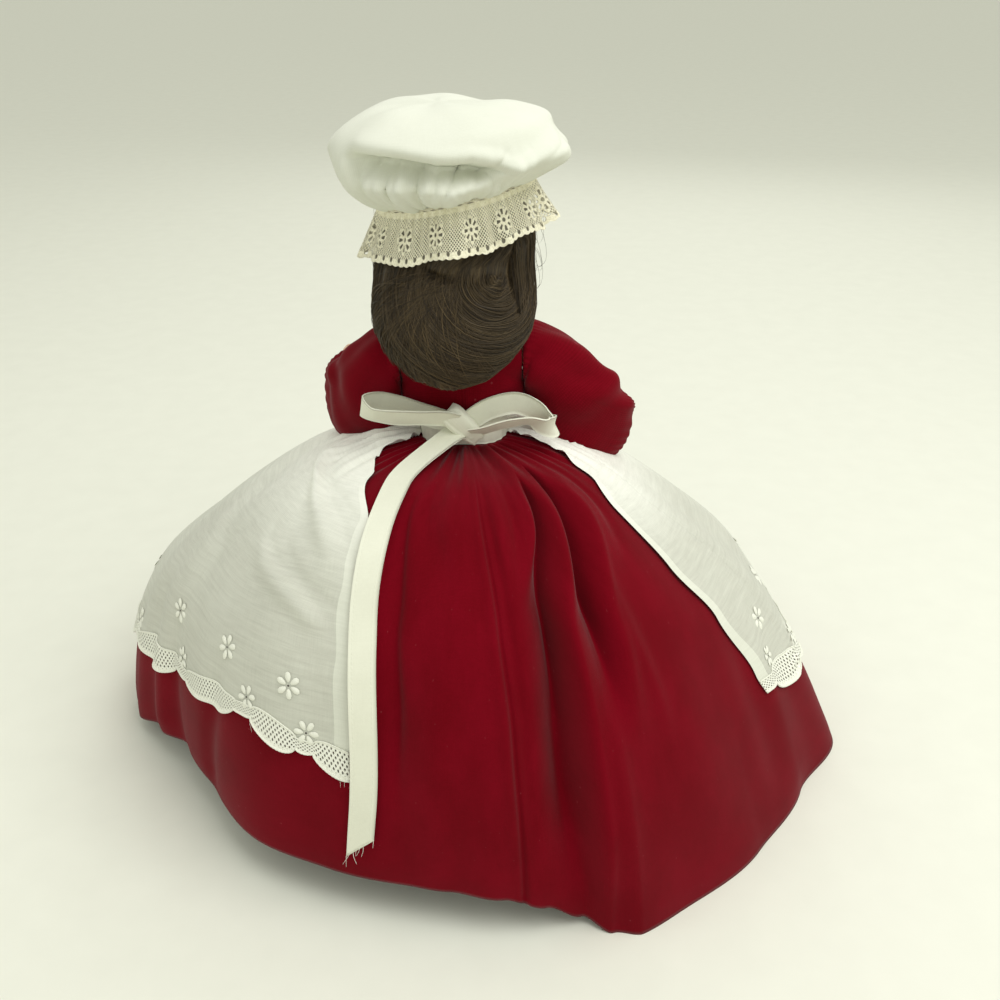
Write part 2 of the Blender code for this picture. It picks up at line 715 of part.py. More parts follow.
def wig_point(turn, share, outside):
    """The wig from its crown (share 1) to its edge (share 0), inside or outside."""
    thickness = WIG_SEAT + (WIG_THICKNESS if outside else 0.0)
    tall = HEAD_HALF_HEIGHT + thickness
    edge = wig_edge_height(turn)
    height = edge + (HEAD_CENTRE_HEIGHT + tall - edge) * share
    rise = max(0.0, (height - HEAD_CENTRE_HEIGHT) / tall)
    round_share = math.sqrt(max(0.0, 1.0 - rise * rise))
    back = max(0.0, math.sin(turn)) ** 1.5
    wide = HEAD_HALF_WIDTH + thickness
    deep = HEAD_HALF_DEPTH + thickness
    below = max(0.0, (HEAD_CENTRE_HEIGHT - height) / HEAD_HALF_HEIGHT)
    if outside:
        away = (height - ROLL_HEIGHT) / ROLL_SPREAD
        bulge = ROLL_DEPTH * back * math.exp(-away * away)
        thin = 1.0 - math.sqrt(min(1.0, share / WIG_EDGE_ROUND_SHARE))
        rounding = 1.0 - (1.0 - WIG_EDGE_THIN_SHARE) * thin
        wide = (wide + bulge) * round_share
        deep = (deep + bulge) * round_share
    else:
        rounding = 1.0
        narrow = math.sqrt(max(0.0, 1.0 - below * below))
        wide = max(WIG_NECK_CLEARANCE, wide * narrow * round_share) if below else wide * round_share
        deep = max(WIG_NECK_CLEARANCE, deep * narrow * round_share) if below else deep * round_share
    if outside and rounding < 1.0:
        inner = wig_point(turn, share, False)
        inner_radius = math.hypot(inner.x, inner.y)
        radius = math.hypot(wide * math.cos(turn), deep * math.sin(turn))
        radius = inner_radius + (radius - inner_radius) * rounding
        full = math.hypot(wide * math.cos(turn), deep * math.sin(turn))
        wide *= radius / full
        deep *= radius / full
    return Vector((wide * math.cos(turn), deep * math.sin(turn), height))


def build_wig(which, neck, material):
    turns = [-2.0 * math.pi * side / WIG_SIDES for side in range(WIG_SIDES)]
    outer = [[wig_point(turn, share, True) for turn in turns] for share in WIG_ROW_SHARES]
    inner = [[wig_point(turn, share, False) for turn in turns] for share in WIG_ROW_SHARES]
    shell_object(which + "_wig", outer, inner, material, neck, capped=True)


def offset_profile(profile, wall):
    """The same profile moved inwards by a wall, along its own normals."""
    moved = []
    for place, (radius, height) in enumerate(profile):
        before = profile[max(0, place - 1)]
        after = profile[min(len(profile) - 1, place + 1)]
        along = Vector((after[0] - before[0], after[1] - before[1])).normalized()
        moved.append((radius - wall * along.y, height + wall * along.x))
    return moved


def crown_ring(radius, height, rise):
    """One row of the crown: gathers that fade upwards, lumps, and the flop to level."""
    gather = CAP_GATHER_DEPTH * max(0.0, 1.0 - rise / CAP_PLAIN_SHARE)
    level = math.tan(math.radians(CAP_LEVEL_DEG)) * min(1.0, rise / CAP_LEVEL_SHARE)
    ring = []
    for side in range(CAP_SIDES):
        turn = -2.0 * math.pi * side / CAP_SIDES
        reach = radius + gather * math.cos(CAP_GATHERS * turn)
        for degrees, middle, spread, tall, depth in CAP_LUMPS:
            away = (math.degrees(turn) - degrees + 180.0) % 360.0 - 180.0
            reach += depth * math.exp(-(away / spread) ** 2 - ((rise - middle) / tall) ** 2)
        reach = max(reach, radius * CAP_LEAST_SHARE)
        x = reach * math.cos(turn)
        ring.append(Vector((x, reach * math.sin(turn), height + x * level)))
    return ring


def build_cap(which, neck, materials):
    """A gathered crown, an elastic and a fluted lace ruffle, all on one tilted band."""
    band = add_empty(which + "_cap_band", (0.0, 0.0, CAP_BAND_HEIGHT), neck,
                     (0.0, math.radians(CAP_TILT_DEG), 0.0))
    profile = [(CAP_CROWN_RADIUS * reach, CAP_CROWN_HEIGHT * rise)
               for reach, rise in CAP_PROFILE_SHARES]
    inside = offset_profile(profile, CAP_WALL)
    inside[0] = (inside[0][0], profile[0][1])
    grids = []
    for outline in (profile, inside):
        rises = [rise for _, rise in CAP_PROFILE_SHARES]
        grids.append([crown_ring(radius, height, rise)
                      for (radius, height), rise in zip(outline[::-1], rises[::-1])])
    shell_object(which + "_cap_crown", grids[0], grids[1], materials["cap"], band, capped=True)
    build_lace(which, band, materials["lace"])
    elastic = ring_tube(CAP_BAND_RADIUS, CAP_ELASTIC_RADIUS, CAP_ELASTIC_STEPS,
                        CAP_ELASTIC_SIDES)
    add_object(which + "_cap_elastic", elastic[0], elastic[1], materials["elastic"], band)


def ring_tube(radius, tube_radius, steps, sides):
    points = []
    for step in range(steps):
        turn = 2.0 * math.pi * step / steps
        for side in range(sides):
            roll = 2.0 * math.pi * side / sides
            reach = radius + tube_radius * math.cos(roll)
            points.append((reach * math.cos(turn), reach * math.sin(turn),
                           tube_radius * math.sin(roll)))
    faces = []
    for step in range(steps):
        for side in range(sides):
            after_step = (step + 1) % steps
            after_side = (side + 1) % sides
            faces.append((step * sides + side, after_step * sides + side,
                          after_step * sides + after_side, step * sides + after_side))
    return points, faces


def build_lace(which, band, material):
    start = CAP_ELASTIC_RADIUS + TOUCH_GAP
    grids = []
    for inset in (0.0, LACE_WALL):
        grid = []
        for share in LACE_ROW_SHARES:
            ring = []
            for side in range(LACE_SIDES):
                turn = -2.0 * math.pi * side / LACE_SIDES
                flute = LACE_FLUTE_DEPTH * share * math.cos(LACE_FLUTES * turn)
                reach = CAP_BAND_RADIUS + LACE_FLARE * share + flute - inset
                ring.append(Vector((reach * math.cos(turn), reach * math.sin(turn),
                                    -start - LACE_DROP * share)))
            grid.append(ring)
        grids.append(grid)
    shell_object(which + "_cap_lace", grids[0], grids[1], material, band)


def arm_route(side, spread):
    """Points of the arm from the shoulder seat out to the finger tips, about the shoulder."""
    return [Vector((side * ARM_REACH * spread * out, ARM_FORWARD * forward, ARM_DROP * down))
            for out, forward, down in ARM_ROUTE_SHARES]


def route_point(route, share):
    """A smooth curve (Catmull-Rom) through the route's points and its direction."""
    spans = len(route) - 1
    place = min(share * spans, spans - 1e-9)
    span = int(place)
    step = place - span
    before = route[max(0, span - 1)]
    start = route[span]
    end = route[span + 1]
    after = route[min(spans, span + 2)]
    point = 0.5 * (2.0 * start + (end - before) * step
                   + (2.0 * before - 5.0 * start + 4.0 * end - after) * step ** 2
                   + (3.0 * start - before - 3.0 * end + after) * step ** 3)
    slope = 0.5 * ((end - before) + 2.0 * (2.0 * before - 5.0 * start + 4.0 * end - after) * step
                   + 3.0 * (3.0 * start - before - 3.0 * end + after) * step ** 2)
    return point, slope.normalized()


def ring_about(point, direction, wide, thick, sides):
    """A ring square to a direction, as thick as given towards the front and back."""
    across = direction.cross(Vector((0.0, 1.0, 0.0)))
    if across.length < 0.3:
        across = direction.cross(Vector((0.0, 0.0, 1.0)))
    across.normalize()
    over = across.cross(direction).normalized()
    ring = []
    for side in range(sides):
        turn = 2.0 * math.pi * side / sides
        ring.append(point + across * wide * math.cos(turn) - over * thick * math.sin(turn))
    return ring


def oriented(rings, outward):
    """Turn every ring round if the loft would come out inside out."""
    first = rings[0]
    centre = sum(first, Vector()) / len(first)
    ahead = sum(rings[1], Vector()) / len(first) - centre
    spin = (first[0] - centre).cross(first[1] - centre).dot(ahead)
    if (spin < 0.0) == outward:
        return [ring[::-1] for ring in rings]
    return rings


def build_arm(which, word, side, spread, pivot, material):
    route = arm_route(side, spread)
    rings = []
    count = len(route)
    for place in range(count):
        point, direction = route_point(route, place / (count - 1))
        if place == 0:
            point = Vector((0.0, 0.0, 0.0))
            direction = Vector((side, 0.0, 0.0))
        wide = ARM_RADIUS * ARM_WIDTH_SHARES[place]
        thick = wide * ARM_FLATNESS_SHARES[place]
        rings.append(ring_about(point, direction, wide, thick, ARM_SIDES))
    rings = align_rings(oriented(rings, True))
    loft_object(which + "_arm_" + word, rings, material, pivot)


def align_rings(rings):
    """Start each ring at the point nearest to the last ring's start, so that none twists."""
    made = [rings[0]]
    for ring in rings[1:]:
        centre = sum(ring, Vector()) / len(ring)
        last_centre = sum(made[-1], Vector()) / len(ring)
        want = made[-1][0] - last_centre
        best = max(range(len(ring)), key=lambda place: (ring[place] - centre).dot(want))
        made.append(ring[best:] + ring[:best])
    return made


def build_sleeve(which, word, side, spread, pivot, material):
    """A puffed tube round the arm.  Its head is a circle about the shoulder axis, so that it
    keeps its place at the armhole however far the arm is swung."""
    route = arm_route(side, spread)
    head_place = bodice_half_width() + TOUCH_GAP - ARM_SEAT
    outer = []
    inner = []
    for share, puff in zip(SLEEVE_ROW_SHARES, SLEEVE_PUFF_SHARES):
        point, direction = route_point(route, SLEEVE_END_SHARE * share)
        radius = SLEEVE_HEAD_RADIUS + (SLEEVE_CUFF_RADIUS - SLEEVE_HEAD_RADIUS) * share
        growth = SLEEVE_PUFF_START_SHARE + (1.0 - SLEEVE_PUFF_START_SHARE) * share
        radius += (SLEEVE_PUFF_RADIUS - SLEEVE_CUFF_RADIUS) * puff * growth
        if share == 0.0:
            point = Vector((side * head_place, 0.0, 0.0))
            direction = Vector((side, 0.0, 0.0))
        else:
            lean = min(1.0, share / SLEEVE_LEAN_SHARE)
            direction = (direction * lean + Vector((side, 0.0, 0.0)) * (1.0 - lean)).normalized()
        outer.append(ring_about(point, direction, radius, radius, SLEEVE_SIDES))
        inner.append(ring_about(point, direction, radius - SLEEVE_WALL, radius - SLEEVE_WALL,
                                SLEEVE_SIDES))
    nearest = side * head_place
    for grid in (outer, inner):
        for ring in grid:
            for point in ring:
                point.x = side * max(side * point.x, side * nearest)
    outer = align_rings(oriented(outer, True))
    inner = align_rings(oriented(inner, True))
    shell_object(which + "_sleeve_" + word, outer, inner, material, pivot)


def bodice_half_width():
    return SHOULDER_HALF_WIDTH + RUNNING_GAP + BODICE_WALL


def bodice_sections(inset):
    """The torso's own sections, set out by a running gap and a cloth wall, up to the neckline."""
    sections = []
    for height_share, width_share, depth_share in TORSO_SECTION_SHARES[:-2]:
        height = WAIST_SEAM_HALF + (TORSO_HEIGHT - WAIST_SEAM_HALF) * height_share
        if height_share > BODICE_SHOULDER_SHARE:
            height += BODICE_WALL - inset
        half_width = SHOULDER_HALF_WIDTH * width_share + RUNNING_GAP + BODICE_WALL - inset
        half_depth = CHEST_HALF_DEPTH * depth_share + RUNNING_GAP + BODICE_WALL - inset
        sections.append(oval_ring(half_width, half_depth, height, BODICE_SIDES,
                                  TORSO_SQUARENESS))
    neck_height = BODICE_NECK_HEIGHT + TORSO_WALL - inset
    sections.append(oval_ring(BODICE_NECK_RADIUS + BODICE_WALL - inset,
                              BODICE_NECK_DEPTH + BODICE_WALL - inset,
                              neck_height, BODICE_SIDES))
    return sections


def build_bodice(which, frame, material):
    outer = bodice_sections(0.0)
    inner = bodice_sections(BODICE_WALL)
    bodice = shell_object(which + "_bodice", outer, inner, material, frame)
    reach = bodice_half_width() + CUT_OVERRUN
    hole = rod_object(which + "_armholes", (-reach, 0.0, SHOULDER_HEIGHT),
                      (reach, 0.0, SHOULDER_HEIGHT), BODICE_ARMHOLE_RADIUS,
                      BODICE_ARMHOLE_SIDES, material, frame)
    add_cut(bodice, hole)


def profile_at(share):
    """Reach and height of the skirt's side at a share of its slant, a curve through the table."""
    table = SKIRT_PROFILE_SHARES
    span = 0
    while span < len(table) - 2 and share > table[span + 1][0]:
        span += 1
    start = table[span]
    end = table[span + 1]
    before = table[max(0, span - 1)]
    after = table[min(len(table) - 1, span + 2)]
    width = end[0] - start[0]
    step = (share - start[0]) / width
    made = []
    for axis in (1, 2):
        slope_in = (end[axis] - before[axis]) / (end[0] - before[0]) * width
        slope_out = (after[axis] - start[axis]) / (after[0] - start[0]) * width
        made.append((2 * step ** 3 - 3 * step ** 2 + 1) * start[axis]
                    + (step ** 3 - 2 * step ** 2 + step) * slope_in
                    + (3 * step ** 2 - 2 * step ** 3) * end[axis]
                    + (step ** 3 - step ** 2) * slope_out)
    return made


def waist_opening(turn):
    half_width = waist_half_width() + RUNNING_GAP + BODICE_WALL + WAIST_EASE
    half_depth = waist_half_depth() + RUNNING_GAP + BODICE_WALL + WAIST_EASE
    wide = abs(math.sin(turn) / half_width) ** TORSO_SQUARENESS
    deep = abs(math.cos(turn) / half_depth) ** TORSO_SQUARENESS
    return (wide + deep) ** (-1.0 / TORSO_SQUARENESS)


def bump(powers, share):
    return powers[2] * share ** powers[0] * (1.0 - share) ** powers[1]


def back_folds(degrees, share):
    """The single folds' depth here: each is a bell across its own line down the skirt."""
    depth = 0.0
    for places, half_width, height, ends in BACK_FOLDS:
        line = read_table(tuple(zip(FOLD_QUARTERS, places)), share)
        across = (degrees - line) / half_width
        start, full, still, end = ends
        along = read_table(((start, 0.0), (full, 1.0), (still, 1.0), (end, 0.0)), share)
        depth += height * along * math.exp(-across * across)
    return depth


def skirt_surface(turn, share):
    """The outer skirt's face at an angle from the centre back and a share of its slant."""
    degrees = (math.degrees(turn) + 180.0) % 360.0 - 180.0
    reach_share, height_share = profile_at(share)
    stretch = 1.0 + (read_table(HEM_SHARES, degrees) - 1.0) * share ** HEM_REACH_POWER
    radius = SKIRT_RADIUS * reach_share * stretch
    radius += SIDE_SWELL * read_table(SIDE_SHARES, degrees, 2) * bump(SWELL_BUMP, share)
    radius += FOLD_DEPTH * read_table(FOLD_SHARES, degrees) * share ** FOLD_POWER
    radius += back_folds(degrees, share)
    opened = min(1.0, share / SKIRT_PROFILE_SHARES[1][0])
    radius = waist_opening(turn) * (1.0 - opened) + radius * opened
    height = SKIRT_HEIGHT * height_share
    height -= DOME_DROP * read_table(SIDE_SHARES, degrees) * bump(DOME_BUMP, share)
    height += HEM_LIFT * read_table(HEM_SHARES, degrees, 2) * share ** HEM_LIFT_POWER
    return Vector((-radius * math.sin(turn), radius * math.cos(turn), height))


def skirt_point(turn, share, lift):
    """A point off the skirt's face, along its normal: above it, or in its wall if negative."""
    point = skirt_surface(turn, share)
    if lift == 0.0:
        return point
    low = max(0.0, share - SLOPE_STEP)
    high = min(1.0, share + SLOPE_STEP)
    down = skirt_surface(turn, high) - skirt_surface(turn, low)
    around = skirt_surface(turn + SLOPE_STEP, share) - skirt_surface(turn - SLOPE_STEP, share)
    normal = around.cross(down).normalized()
    if normal.dot(Vector((point.x, point.y, SKIRT_HEIGHT))) < 0.0:
        normal = -normal
    return point + normal * lift


def column_turn(column):
    return 2.0 * math.pi * column / SKIRT_COLUMNS


def skirt_grid(columns, shares, lift, hem_lift=None):
    grid = []
    for share in shares:
        depth = lift
        if hem_lift is not None and share >= SKIRT_PROFILE_SHARES[-2][0]:
            depth = hem_lift
        row = []
        for column in columns:
            turn = column_turn(column)
            point = skirt_point(turn, share, depth)
            if share == 1.0:
                point.z = skirt_surface(turn, share).z
            row.append(point)
        grid.append(row[::-1])
    return grid


def footprint_centre():
    """The middle of the skirt's outline seen from above, which the origin lies under."""
    shares = [row[0] for row in SKIRT_PROFILE_SHARES]
    points = [point for row in skirt_grid(range(SKIRT_COLUMNS), shares, 0.0) for point in row]
    middle = [(min(point[axis] for point in points) + max(point[axis] for point in points)) / 2.0
              for axis in (0, 1)]
    return Vector((middle[0], middle[1], 0.0))


def build_skirts(stand, materials):
    columns = range(SKIRT_COLUMNS)
    shares = [row[0] for row in SKIRT_PROFILE_SHARES]
    shell_object("outer_skirt", skirt_grid(columns, shares, 0.0),
                 skirt_grid(columns, shares, -SKIRT_WALL, -HEM_WALL), materials["dress"], stand)
    lining = shares[:-2]
    top = -SKIRT_WALL - LINING_GAP
    shell_object("inner_skirt", skirt_grid(columns, lining, top),
                 skirt_grid(columns, lining, top - LINING_WALL), materials["second_dress"], stand)


def apron_turns(share):
    """The apron's columns: the skirt's own, drawn along to its two edges near each end."""
    turns = [column_turn(column) for column in range(APRON_RIGHT_COLUMN, APRON_LEFT_COLUMN + 1)]
    right = math.radians(read_table(APRON_EDGE_SHARES, share))
    left = 2.0 * math.pi + math.radians(read_table(APRON_EDGE_SHARES, share, 2))
    last = len(turns) - 1
    moved = []
    for place, turn in enumerate(turns):
        near = max(0.0, 1.0 - place / APRON_EDGE_COLUMNS)
        far = max(0.0, 1.0 - (last - place) / APRON_EDGE_COLUMNS)
        moved.append(turn + (right - turns[0]) * near + (left - turns[last]) * far)
    return moved


def apron_grid(shares, lift):
    return [[skirt_point(turn, share, lift) for turn in apron_turns(share)[::-1]]
            for share in shares]


def build_apron(stand, materials):
    shares = [row[0] for row in SKIRT_PROFILE_SHARES]
    panel = shares[:APRON_PANEL_ROWS]
    under = APRON_LIFT
    over = APRON_LIFT + APRON_WALL
    shell_object("apron_panel", apron_grid(panel, over), apron_grid(panel, under),
                 materials["apron"], stand, closed=False)
    border = (panel[-1] + TOUCH_GAP / SKIRT_HEIGHT, APRON_BORDER_END_SHARE)
    shell_object("apron_border", apron_grid(border, over + APRON_WALL),
                 apron_grid(border, under + APRON_WALL / 2), materials["lace"],
                 stand, closed=False)


def band_rings(inset, low, high):
    rings = []
    for height in (high, low):
        half_width = waist_half_width() + RUNNING_GAP + BODICE_WALL + WAISTBAND_WALL
        half_depth = waist_half_depth() + RUNNING_GAP + BODICE_WALL + WAISTBAND_WALL
        half_width += BODICE_WALL - inset
        half_depth += BODICE_WALL - inset
        ring = oval_ring(half_width, half_depth, height, WAISTBAND_SIDES, TORSO_SQUARENESS)
        rings.append(ring[::-1])
    return rings


def band_low():
    """The band's lower edge: above the apron's top on the side that the lean lowers."""
    leaned = math.sin(math.radians(DOLL_LEAN_DEG)) * waist_opening(math.pi / 2.0)
    return SKIRT_HEIGHT + APRON_WALL + 2.0 * TOUCH_GAP - WAIST_HEIGHT + leaned + RUNNING_GAP


def build_waistband(core, material):
    low = band_low()
    outer = band_rings(0.0, low, low + WAISTBAND_WIDTH)
    inner = band_rings(WAISTBAND_WALL, low, low + WAISTBAND_WIDTH)
    shell_object("apron_waistband", outer, inner, material, core)


def knot_centre():
    back = waist_half_depth() + RUNNING_GAP + 2.0 * BODICE_WALL + WAISTBAND_WALL
    return Vector((0.0, back + TOUCH_GAP + KNOT_HALF_DEPTH, KNOT_HEIGHT))


def build_knot(core, material):
    rings = []
    for share, size in KNOT_SECTION_SHARES:
        half_depth = KNOT_HALF_DEPTH * (KNOT_FLAT_SHARE + (1.0 - KNOT_FLAT_SHARE) * size)
        ring = oval_ring(KNOT_HALF_WIDTH * size, half_depth, 0.0, KNOT_SIDES, KNOT_SQUARENESS)
        lift = knot_centre() + Vector((0.0, 0.0, KNOT_HALF_HEIGHT * share))
        rings.append([point + lift for point in ring])
    loft_object("bow_knot", rings, material, core)


def build_loop(name, side, length, core, material):
    """A teardrop of ribbon on edge: out behind the waist, round the tip and back in front."""
    start = knot_centre() + Vector((side * (KNOT_HALF_WIDTH + TOUCH_GAP), 0.0, 0.0))
    outer = []
    inner = []
    for place in range(LOOP_POINTS):
        turn = 2.0 * math.pi * place / LOOP_POINTS
        bulge = (1.0 - math.cos(turn)) / 2.0
        deep = math.sin(turn) * (LOOP_NARROW_SHARE + (1.0 - LOOP_NARROW_SHARE) * bulge)
        for route, inset in ((outer, 0.0), (inner, TIE_WALL)):
            reach = inset + (length - 2.0 * inset) * bulge
            place_y = (LOOP_HALF_DEPTH - inset) * deep
            route.append(start + Vector((side * reach, place_y, 0.0)))
    half_width = TIE_WIDTH / 2.0
    edge = Vector((0.0, -half_width * LOOP_TILT_SHARE, half_width))
    rows = []
    for route in (outer, inner):
        high = [point + edge for point in route]
        low = [point - edge for point in route]
        rows.append([high, low] if side > 0.0 else [low, high])
    shell_object(name, rows[0], rows[1], material, core)


def build_tail(stand, materials):
    """The long tie end: down from the knot, then laid on the skirt beside the apron's edge."""
    half_width = TIE_WIDTH / 2.0
    under_grid = []
    over_grid = []
    for share, degrees in TAIL_SHARES:
        angle = math.radians(degrees)
        centre = skirt_surface(angle, share)
        radius = math.hypot(centre.x, centre.y)
        turns = [angle - across * half_width / radius for across in TAIL_POINT_SHARES]
        under_grid.append([skirt_point(turn, share, TAIL_LIFT) for turn in turns])
        over_grid.append([skirt_point(turn, share, TAIL_LIFT + TIE_WALL) for turn in turns])
    start = Vector((-TAIL_START_INWARD, -TAIL_START_FORWARD, TAIL_START_RISE))
    for grid in (under_grid, over_grid):
        grid.insert(0, [point + start for point in grid[0]])
    shell_object("tie_tail", over_grid, under_grid, materials["tie"], stand, closed=False)


def build_doll(which, core, materials):
    flip = math.pi if which == LOWER else 0.0
    frame = add_empty(which + "_doll", (0.0, 0.0, 0.0), core, (0.0, flip, 0.0))
    build_torso(which, frame, materials["skin"])
    build_arm_elastic(which, frame, materials["elastic"])
    build_bodice(which, frame, materials["dress" if which == UPPER else "second_dress"])
    neck = add_empty(which + "_neck", (0.0, 0.0, 0.0), frame)
    build_head(which, neck, materials["skin"])
    build_neck_bar(which, neck, materials["metal"])
    build_wig(which, neck, materials["hair"])
    build_cap(which, neck, materials)
    closed = math.radians(EYE_CLOSED_DEG) if which == LOWER else 0.0
    middle = Vector((0.0, eye_centre(1.0).y, EYE_HEIGHT))
    eye_pivot = add_empty(which + "_eye_pivot", middle, neck, (closed, 0.0, 0.0))
    build_eyes(which, eye_pivot, materials)
    dress = materials["dress" if which == UPPER else "second_dress"]
    for side, word in ((1.0, "left"), (-1.0, "right")):
        swing = LOWER_SWING_DEG
        spread = LOWER_SPREAD_SHARE
        if which == UPPER:
            swing = UPPER_LEFT_SWING_DEG if side > 0.0 else UPPER_RIGHT_SWING_DEG
            spread = UPPER_LEFT_SPREAD_SHARE if side > 0.0 else UPPER_RIGHT_SPREAD_SHARE
        pivot = add_empty(which + "_shoulder_" + word,
                          (side * ARM_SEAT, 0.0, SHOULDER_HEIGHT), frame,
                          (-math.radians(swing), 0.0, 0.0))
        build_arm(which, word, side, spread, pivot, materials["skin"])
        build_sleeve(which, word, side, spread, pivot, dress)


def make_materials():
    return {
        "skin": make_material("skin_plastic", (0.78, 0.55, 0.44), 0.45),
        "dress": make_material("burgundy_cotton", (0.16, 0.012, 0.028), 0.85),
        "second_dress": make_material("blue_cotton", (0.12, 0.20, 0.34), 0.85),
        "apron": make_material("white_lawn", (0.80, 0.82, 0.74), 0.8),
        "lace": make_material("cream_lace", (0.72, 0.68, 0.50), 0.85),
        "cap": make_material("white_cotton", (0.84, 0.84, 0.76), 0.8),
        "tie": make_material("tie_cotton", (0.85, 0.86, 0.72), 0.8),
        "hair": make_material("dark_hair", (0.024, 0.018, 0.011), 0.55),
        "eye": make_material("eye_plastic", (0.85, 0.85, 0.82), 0.15),
        "metal": make_material("rocker_metal", (0.45, 0.45, 0.45), 0.4, 1.0),
        "elastic": make_material("elastic_cord", (0.75, 0.72, 0.62), 0.8),
        "plug": make_material("plug_wood", (0.55, 0.38, 0.20), 0.6),
    }


def main():
    clear_scene()
    materials = make_materials()
    stand = add_empty("doll_stand", -footprint_centre())
    core = add_empty("doll_core", (0.0, 0.0, WAIST_HEIGHT), stand,
                     (0.0, math.radians(DOLL_LEAN_DEG), 0.0))
    build_waist_plug(core, materials["plug"])
    build_neck_elastic(core, materials["elastic"])
    for which in (UPPER, LOWER):
        build_doll(which, core, materials)
    build_skirts(stand, materials)
    build_apron(stand, materials)
    build_waistband(core, materials["tie"])
    build_knot(core, materials["tie"])
    build_loop("bow_loop_left", 1.0, LEFT_LOOP_LENGTH, core, materials["tie"])
    build_loop("bow_loop_right", -1.0, RIGHT_LOOP_LENGTH, core, materials["tie"])
    build_tail(stand, materials)


main()
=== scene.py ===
import json
import math

import bpy
import numpy as np
from mathutils import Euler, Matrix, Vector


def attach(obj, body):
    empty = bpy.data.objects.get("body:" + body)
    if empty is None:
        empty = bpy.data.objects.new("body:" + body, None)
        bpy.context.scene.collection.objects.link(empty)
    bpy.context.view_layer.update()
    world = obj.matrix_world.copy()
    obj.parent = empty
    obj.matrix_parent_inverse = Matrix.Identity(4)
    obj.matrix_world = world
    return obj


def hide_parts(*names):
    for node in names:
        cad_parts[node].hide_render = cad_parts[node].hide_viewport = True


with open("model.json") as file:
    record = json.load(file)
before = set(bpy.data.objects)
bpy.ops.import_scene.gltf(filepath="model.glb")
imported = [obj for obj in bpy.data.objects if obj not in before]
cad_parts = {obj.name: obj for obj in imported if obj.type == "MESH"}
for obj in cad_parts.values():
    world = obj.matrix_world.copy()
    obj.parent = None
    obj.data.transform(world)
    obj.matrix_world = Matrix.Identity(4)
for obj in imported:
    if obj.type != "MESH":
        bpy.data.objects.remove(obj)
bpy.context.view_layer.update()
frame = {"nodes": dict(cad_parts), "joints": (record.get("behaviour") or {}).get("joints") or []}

MM = 0.001
RNG = np.random.default_rng(7)

# Where the doll stands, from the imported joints
JOINTS = {joint["name"]: joint for joint in frame["joints"]}
NECK_TURN = JOINTS["upper_neck_turn"]
NECK_TURN_HEIGHT = 47.3 * MM
LEAN_Z = np.array(NECK_TURN["axis"], float)
LEAN_X = np.array([LEAN_Z[2], 0.0, -LEAN_Z[0]])
CORE = np.array(NECK_TURN["pos_m"], float) - NECK_TURN_HEIGHT * LEAN_Z
STAND = np.array([CORE[0], CORE[1], 0.0])
UPPER = "upper"
LOWER = "lower"


def place_matrix(origin, x_axis, z_axis):
    """A frame as a 4 by 4 matrix, from its origin and two of its axes."""
    made = np.eye(4)
    made[:3, 0] = x_axis
    made[:3, 1] = np.cross(z_axis, x_axis)
    made[:3, 2] = z_axis
    made[:3, 3] = origin
    return made


def shifted(matrix, offset, turn_y=0.0, turn_x=0.0):
    """A frame moved by an offset in its own axes, then turned about its Y and X axes."""
    move = np.eye(4)
    move[:3, 3] = offset
    spin = Matrix.Rotation(turn_y, 4, "Y") @ Matrix.Rotation(turn_x, 4, "X")
    return matrix @ move @ np.array(spin)


FRAMES = {
    UPPER: place_matrix(CORE, LEAN_X, LEAN_Z),
    LOWER: place_matrix(CORE, -LEAN_X, -LEAN_Z),
}


def moved(points, matrix):
    """Points turned and shifted by a 4 by 4 matrix."""
    return points @ matrix[:3, :3].T + matrix[:3, 3]


# ---- Finishes: shader maths ----

class Field:
    """A value that varies over a surface.  Arithmetic on it adds Math nodes to its finish."""

    def __init__(self, finish, socket):
        self.finish = finish
        self.socket = socket

    def math(self, operation, *others):
        inputs = dict(enumerate((self, *others)))
        return self.finish.node("ShaderNodeMath", {"operation": operation}, inputs)

    def reflected(self, operation, other):
        inputs = {0: other, 1: self}
        return self.finish.node("ShaderNodeMath", {"operation": operation}, inputs)

    def sine(self):
        return self.math("SINE")

    def size(self):
        return self.math("ABSOLUTE")

    def at_least(self, other):
        return self.math("MAXIMUM", other)

    def at_most(self, other):
        return self.math("MINIMUM", other)

    def step(self, low, high, start=0.0, end=1.0):
        """A smooth step from start to end while the value goes from low to high."""
        inputs = {0: self, 1: low, 2: high, 3: start, 4: end}
        return self.finish.node("ShaderNodeMapRange", {"interpolation_type": "SMOOTHSTEP"}, inputs)

    def fall(self, low, high):
        """A smooth step down from 1 to 0 while the value goes from low to high."""
        return self.step(low, high, 1.0, 0.0)

    __add__ = __radd__ = lambda self, other: self.math("ADD", other)
    __mul__ = __rmul__ = lambda self, other: self.math("MULTIPLY", other)
    __sub__ = lambda self, other: self.math("SUBTRACT", other)
    __rsub__ = lambda self, other: self.reflected("SUBTRACT", other)
    __truediv__ = lambda self, other: self.math("DIVIDE", other)
    __pow__ = lambda self, other: self.math("POWER", other)


